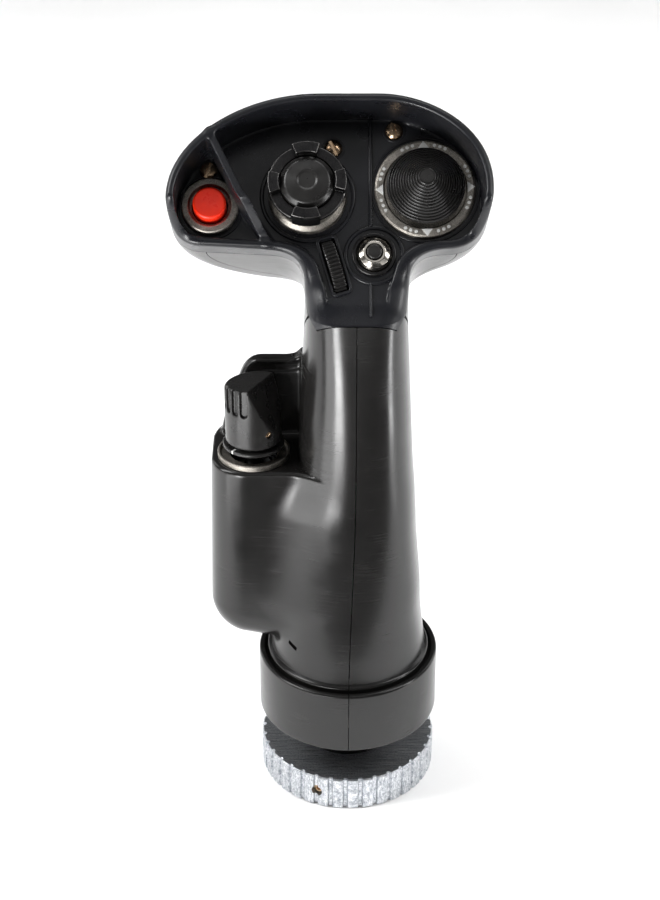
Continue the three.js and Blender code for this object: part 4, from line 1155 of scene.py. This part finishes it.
def lever_solid(outline, pivot, width, edge):
    """A lever with rounded edges, bored for its pin and hollowed for its spring."""
    plan = Plan(outline, margin=4)

    def field(x, y, z):
        blade = round_max(plan(y, z), np.abs(x - SEAM_X) - width / 2, edge)
        reach = np.hypot(y - pivot[0], z - pivot[1])
        bore = reach - 1.75
        spring = np.maximum(reach - 3.3, np.abs(x - SEAM_X) - 2.6)
        return np.maximum(np.maximum(blade, -bore), -spring)

    corners, reach = np.array(outline), width / 2 + 1
    return skin(field, (SEAM_X - reach, *corners.min(0) - 1), (SEAM_X + reach, *corners.max(0) + 1), 0.4)


def levers():
    trigger = lever_solid(TRIGGER_OUTLINE, (24, 163), 9.6, 1.5)
    moulding("trigger", trigger, "control_plastic", body="trigger_lever")
    paddle = lever_solid(PADDLE_OUTLINE, (21, 107), 9.0, 1.5)
    moulding("paddle", paddle, "control_plastic", body="paddle_lever")


def lower_button():
    turning("lower_button_cap", "control_plastic", LOWER_BUTTON, [
        (0, 17.6, 0), (4.4, 17.6, 0), (4.4, 27.1, 0.9), (0, 27.4, 0),
    ], "lower_button", made="moulding")
    turning("lower_button_bushing", "blasted_metal", LOWER_BUTTON, [
        (4.75, 18, 0), (6.6, 18, 0), (6.6, 25.1, 0.7), (5.6, 25.1, 0.3), (5.3, 24.4, 0.2),
        (4.75, 24.4, 0.1),
    ])


def shell_screws():
    for i, (y, z, surface) in enumerate(SHELL_SCREWS):
        solid = shifted(screw_solid(2.7, 1.3, surface + 7, 0.4 + i), z=surface - 2.3)
        piece(f"shell_screw_{i + 1}", "turning", solid, "steel", matrix=along_x(y, z), weighted=False)


# -------- neck and locking ring


THREAD_FOOT, THREAD_PITCH, THREADS = 4.0, 1.5, 16


def neck():
    """The hollow spindle: a foot flange, shallow threads for the ring and a clamped flange."""
    bore, root = 12.9, 15.5
    profile = [(bore, 0), (17.2, 0), (17.4, 0.2), (17.4, 2.8), (17.2, 3.0), (root, 3.0)]
    for i in range(THREADS):
        base = THREAD_FOOT + i * THREAD_PITCH
        profile += [(root, base), (root, base + 0.25), (root - 0.45, base + 0.75), (root, base + 1.25)]
    profile += [(root, 30.6), (23.3, 30.6), (23.6, 30.9), (23.6, 34.7), (23.3, 35), (root, 35),
                (root, 44), (bore, 44)]
    piece("neck_spindle", "turning", turned(profile, 128), "gunmetal")


def fluted(inset=0.0):
    """The ring's outer radius round its edge: flat lands with narrow grooves between them."""
    depth, middle = 0.85, 0.82
    pitch = 2 * math.pi / RING_FLUTES

    def radius(angles):
        share = (angles / pitch) % 1
        groove = 1 - step_between(np.abs(share - middle), 0.10, 0.17)
        land = 0.12 * (np.cos((share - 0.32) * pitch) - 1)
        return RING_R - inset - depth * groove + land

    return radius


def locking_ring():
    levels = [(18.2, 0), (fluted(0.6), 0), (fluted(0.15), 0.35), (fluted(), 0.8)]
    levels += [(fluted(), RING_H - 0.7), (fluted(0.15), RING_H - 0.3), (fluted(0.5), RING_H),
               (29.2, RING_H), (16.3, RING_H), (15.95, RING_H - 0.35), (15.95, 4.85), (18.2, 4.85)]
    ring = turned(levels, RING_FLUTES * 28)
    lying = turn_about("Z", -111) @ Matrix.Translation((0, 0, 6.5)) @ turn_about("Y", 90)
    ring = carved(ring, [placed(rod(2.0, 22, 40), lying)])
    piece("locking_ring", "turning", ring, "ring_aluminium", "ring")
    turning("ring_set_screw", "brass", lying, [
        (0, 22.4, 0), (1.7, 22.4, 0), (1.7, 29.3, 0.3), (0.85, 29.3, 0.1), (0.75, 28.2, 0), (0, 28.0, 0),
    ], "ring", 48)
    turning("ring_slip_washer", "polished_nickel", None, [
        (15.8, 3.3, 0), (17.4, 3.3, 0.15), (17.4, 4.5, 0.15), (15.8, 4.5, 0),
    ], "ring_washer")


# -------- stage, lights and camera


def stage_sheet(name, low, high, z, look):
    """A flat stage piece between two corners, in metres."""
    corners = [(low[0], low[1], z), (high[0], low[1], z), (high[0], high[1], z), (low[0], high[1], z)]
    thing = shape(name, (np.array(corners, float), [(0, 1, 2, 3)]))
    thing.data.materials.append(look)
    return thing


def stage():
    """A wide pale floor, with an even wash of light that falls on nothing else."""
    look = painted("floor", (0.90, 0.90, 0.90), (0.93, 0.93, 0.93), (0.7, 0.8), 2.0, 0.01, 120.0)
    floor = stage_sheet("floor", (-30, -30), (30, 30), 0, look)
    wash = bpy.data.lights.new("floor wash", "SUN")
    wash.energy = 1.2
    wash.angle = math.radians(70)
    lamp = bpy.data.objects.new("floor wash", wash)
    bpy.context.scene.collection.objects.link(lamp)
    lit = bpy.data.collections.new("lit by floor wash")
    lit.objects.link(floor)
    lamp.light_linking.receiver_collection = lit


def softbox(name, at, target, size, radiance):
    """A rectangular light of even radiance that faces a point."""
    lamp = bpy.data.lights.new(name, "AREA")
    lamp.shape = "RECTANGLE"
    lamp.size, lamp.size_y = size
    lamp.energy = radiance * math.pi * size[0] * size[1]
    thing = bpy.data.objects.new(name, lamp)
    thing.location = at
    thing.rotation_euler = (Vector(target) - Vector(at)).to_track_quat("-Z", "Y").to_euler()
    thing.visible_camera = False
    bpy.context.scene.collection.objects.link(thing)
    return thing


def floor_panel(name, bearing, near, far, width, radiance):
    """A light panel that lies on the floor beside the object, its length along a bearing."""
    turn = math.radians(bearing)
    reach = (near + far) / 2
    at = (reach * math.cos(turn), reach * math.sin(turn), 0.003)
    panel = softbox(name, at, (at[0], at[1], 1), (far - near, width), radiance)
    panel.rotation_euler = (math.pi, 0, turn)


def dark_card():
    """A black card that lies on the floor before the object, so its front reflects no bright floor."""
    look = painted("card", (0.04, 0.04, 0.04), (0.05, 0.05, 0.05), (0.8, 0.9), 2.0, 0.01, 120.0)
    card = stage_sheet("dark card", (-0.5, -0.8), (0.5, -0.13), 0.001, look)
    card.visible_camera = False
    card.visible_shadow = False
    card.visible_diffuse = False


def lights():
    middle = (0, 0, 0.15)
    softbox("top strip", (0, 0.25, 1.2), middle, (1.0, 0.3), 4)
    softbox("front top", (0, -0.5, 1.0), middle, (0.7, 0.3), 0.5)
    softbox("high left", (-0.6, -0.1, 0.8), middle, (0.3, 0.3), 10)
    softbox("high right", (0.6, -0.15, 0.8), middle, (0.3, 0.3), 4)
    for name, (x, y, z), size, radiance in (("back", (0.8, 0.55, 0.45), (0.4, 0.7), 1.5),
                                            ("side", (0.7, -0.12, 0.42), (0.16, 0.3), 8)):
        softbox(name + " left", (-x, y, z), middle, size, radiance)
        softbox(name + " right", (x, y, z), middle, size, radiance)
    floor_panel("strip left", 244, 0.38, 0.95, 0.15, 26)
    floor_panel("panel left", 222, 0.24, 0.8, 0.2, 5)
    floor_panel("strip right", 343, 0.36, 0.9, 0.08, 13)
    dark_card()
    world = bpy.data.worlds.new("studio")
    bpy.context.scene.world = world
    world.use_nodes = True
    glow = world.node_tree.nodes["Background"].inputs
    glow["Color"].default_value = (1, 1, 1, 1)
    glow["Strength"].default_value = 0.1
    bpy.context.scene.view_settings.view_transform = "Standard"


CAMERA_LENS = 78.48
CAMERA_AT = (-0.006392, -0.565755, 0.466373)
CAMERA_DIP = 30.7244        # degrees below level


def camera():
    """A long lens before the object, above it and tipped down."""
    lens = bpy.data.cameras.new("camera")
    lens.lens = CAMERA_LENS
    lens.sensor_width = 36.0
    lens.clip_start = 0.05
    thing = bpy.data.objects.new("camera", lens)
    thing.location = CAMERA_AT
    thing.rotation_euler = (math.radians(90 - CAMERA_DIP), 0, 0)
    bpy.context.scene.collection.objects.link(thing)
    bpy.context.scene.camera = thing


# -------- the whole object

camera()
lights()
stage()
dress_frame()
grip_shells()
head_shells()
red_button()
castle_switch()
trim_hat()
small_button()
thumbwheel()
face_screws()
select_knob()
levers()
lower_button()
shell_screws()
neck()
locking_ring()
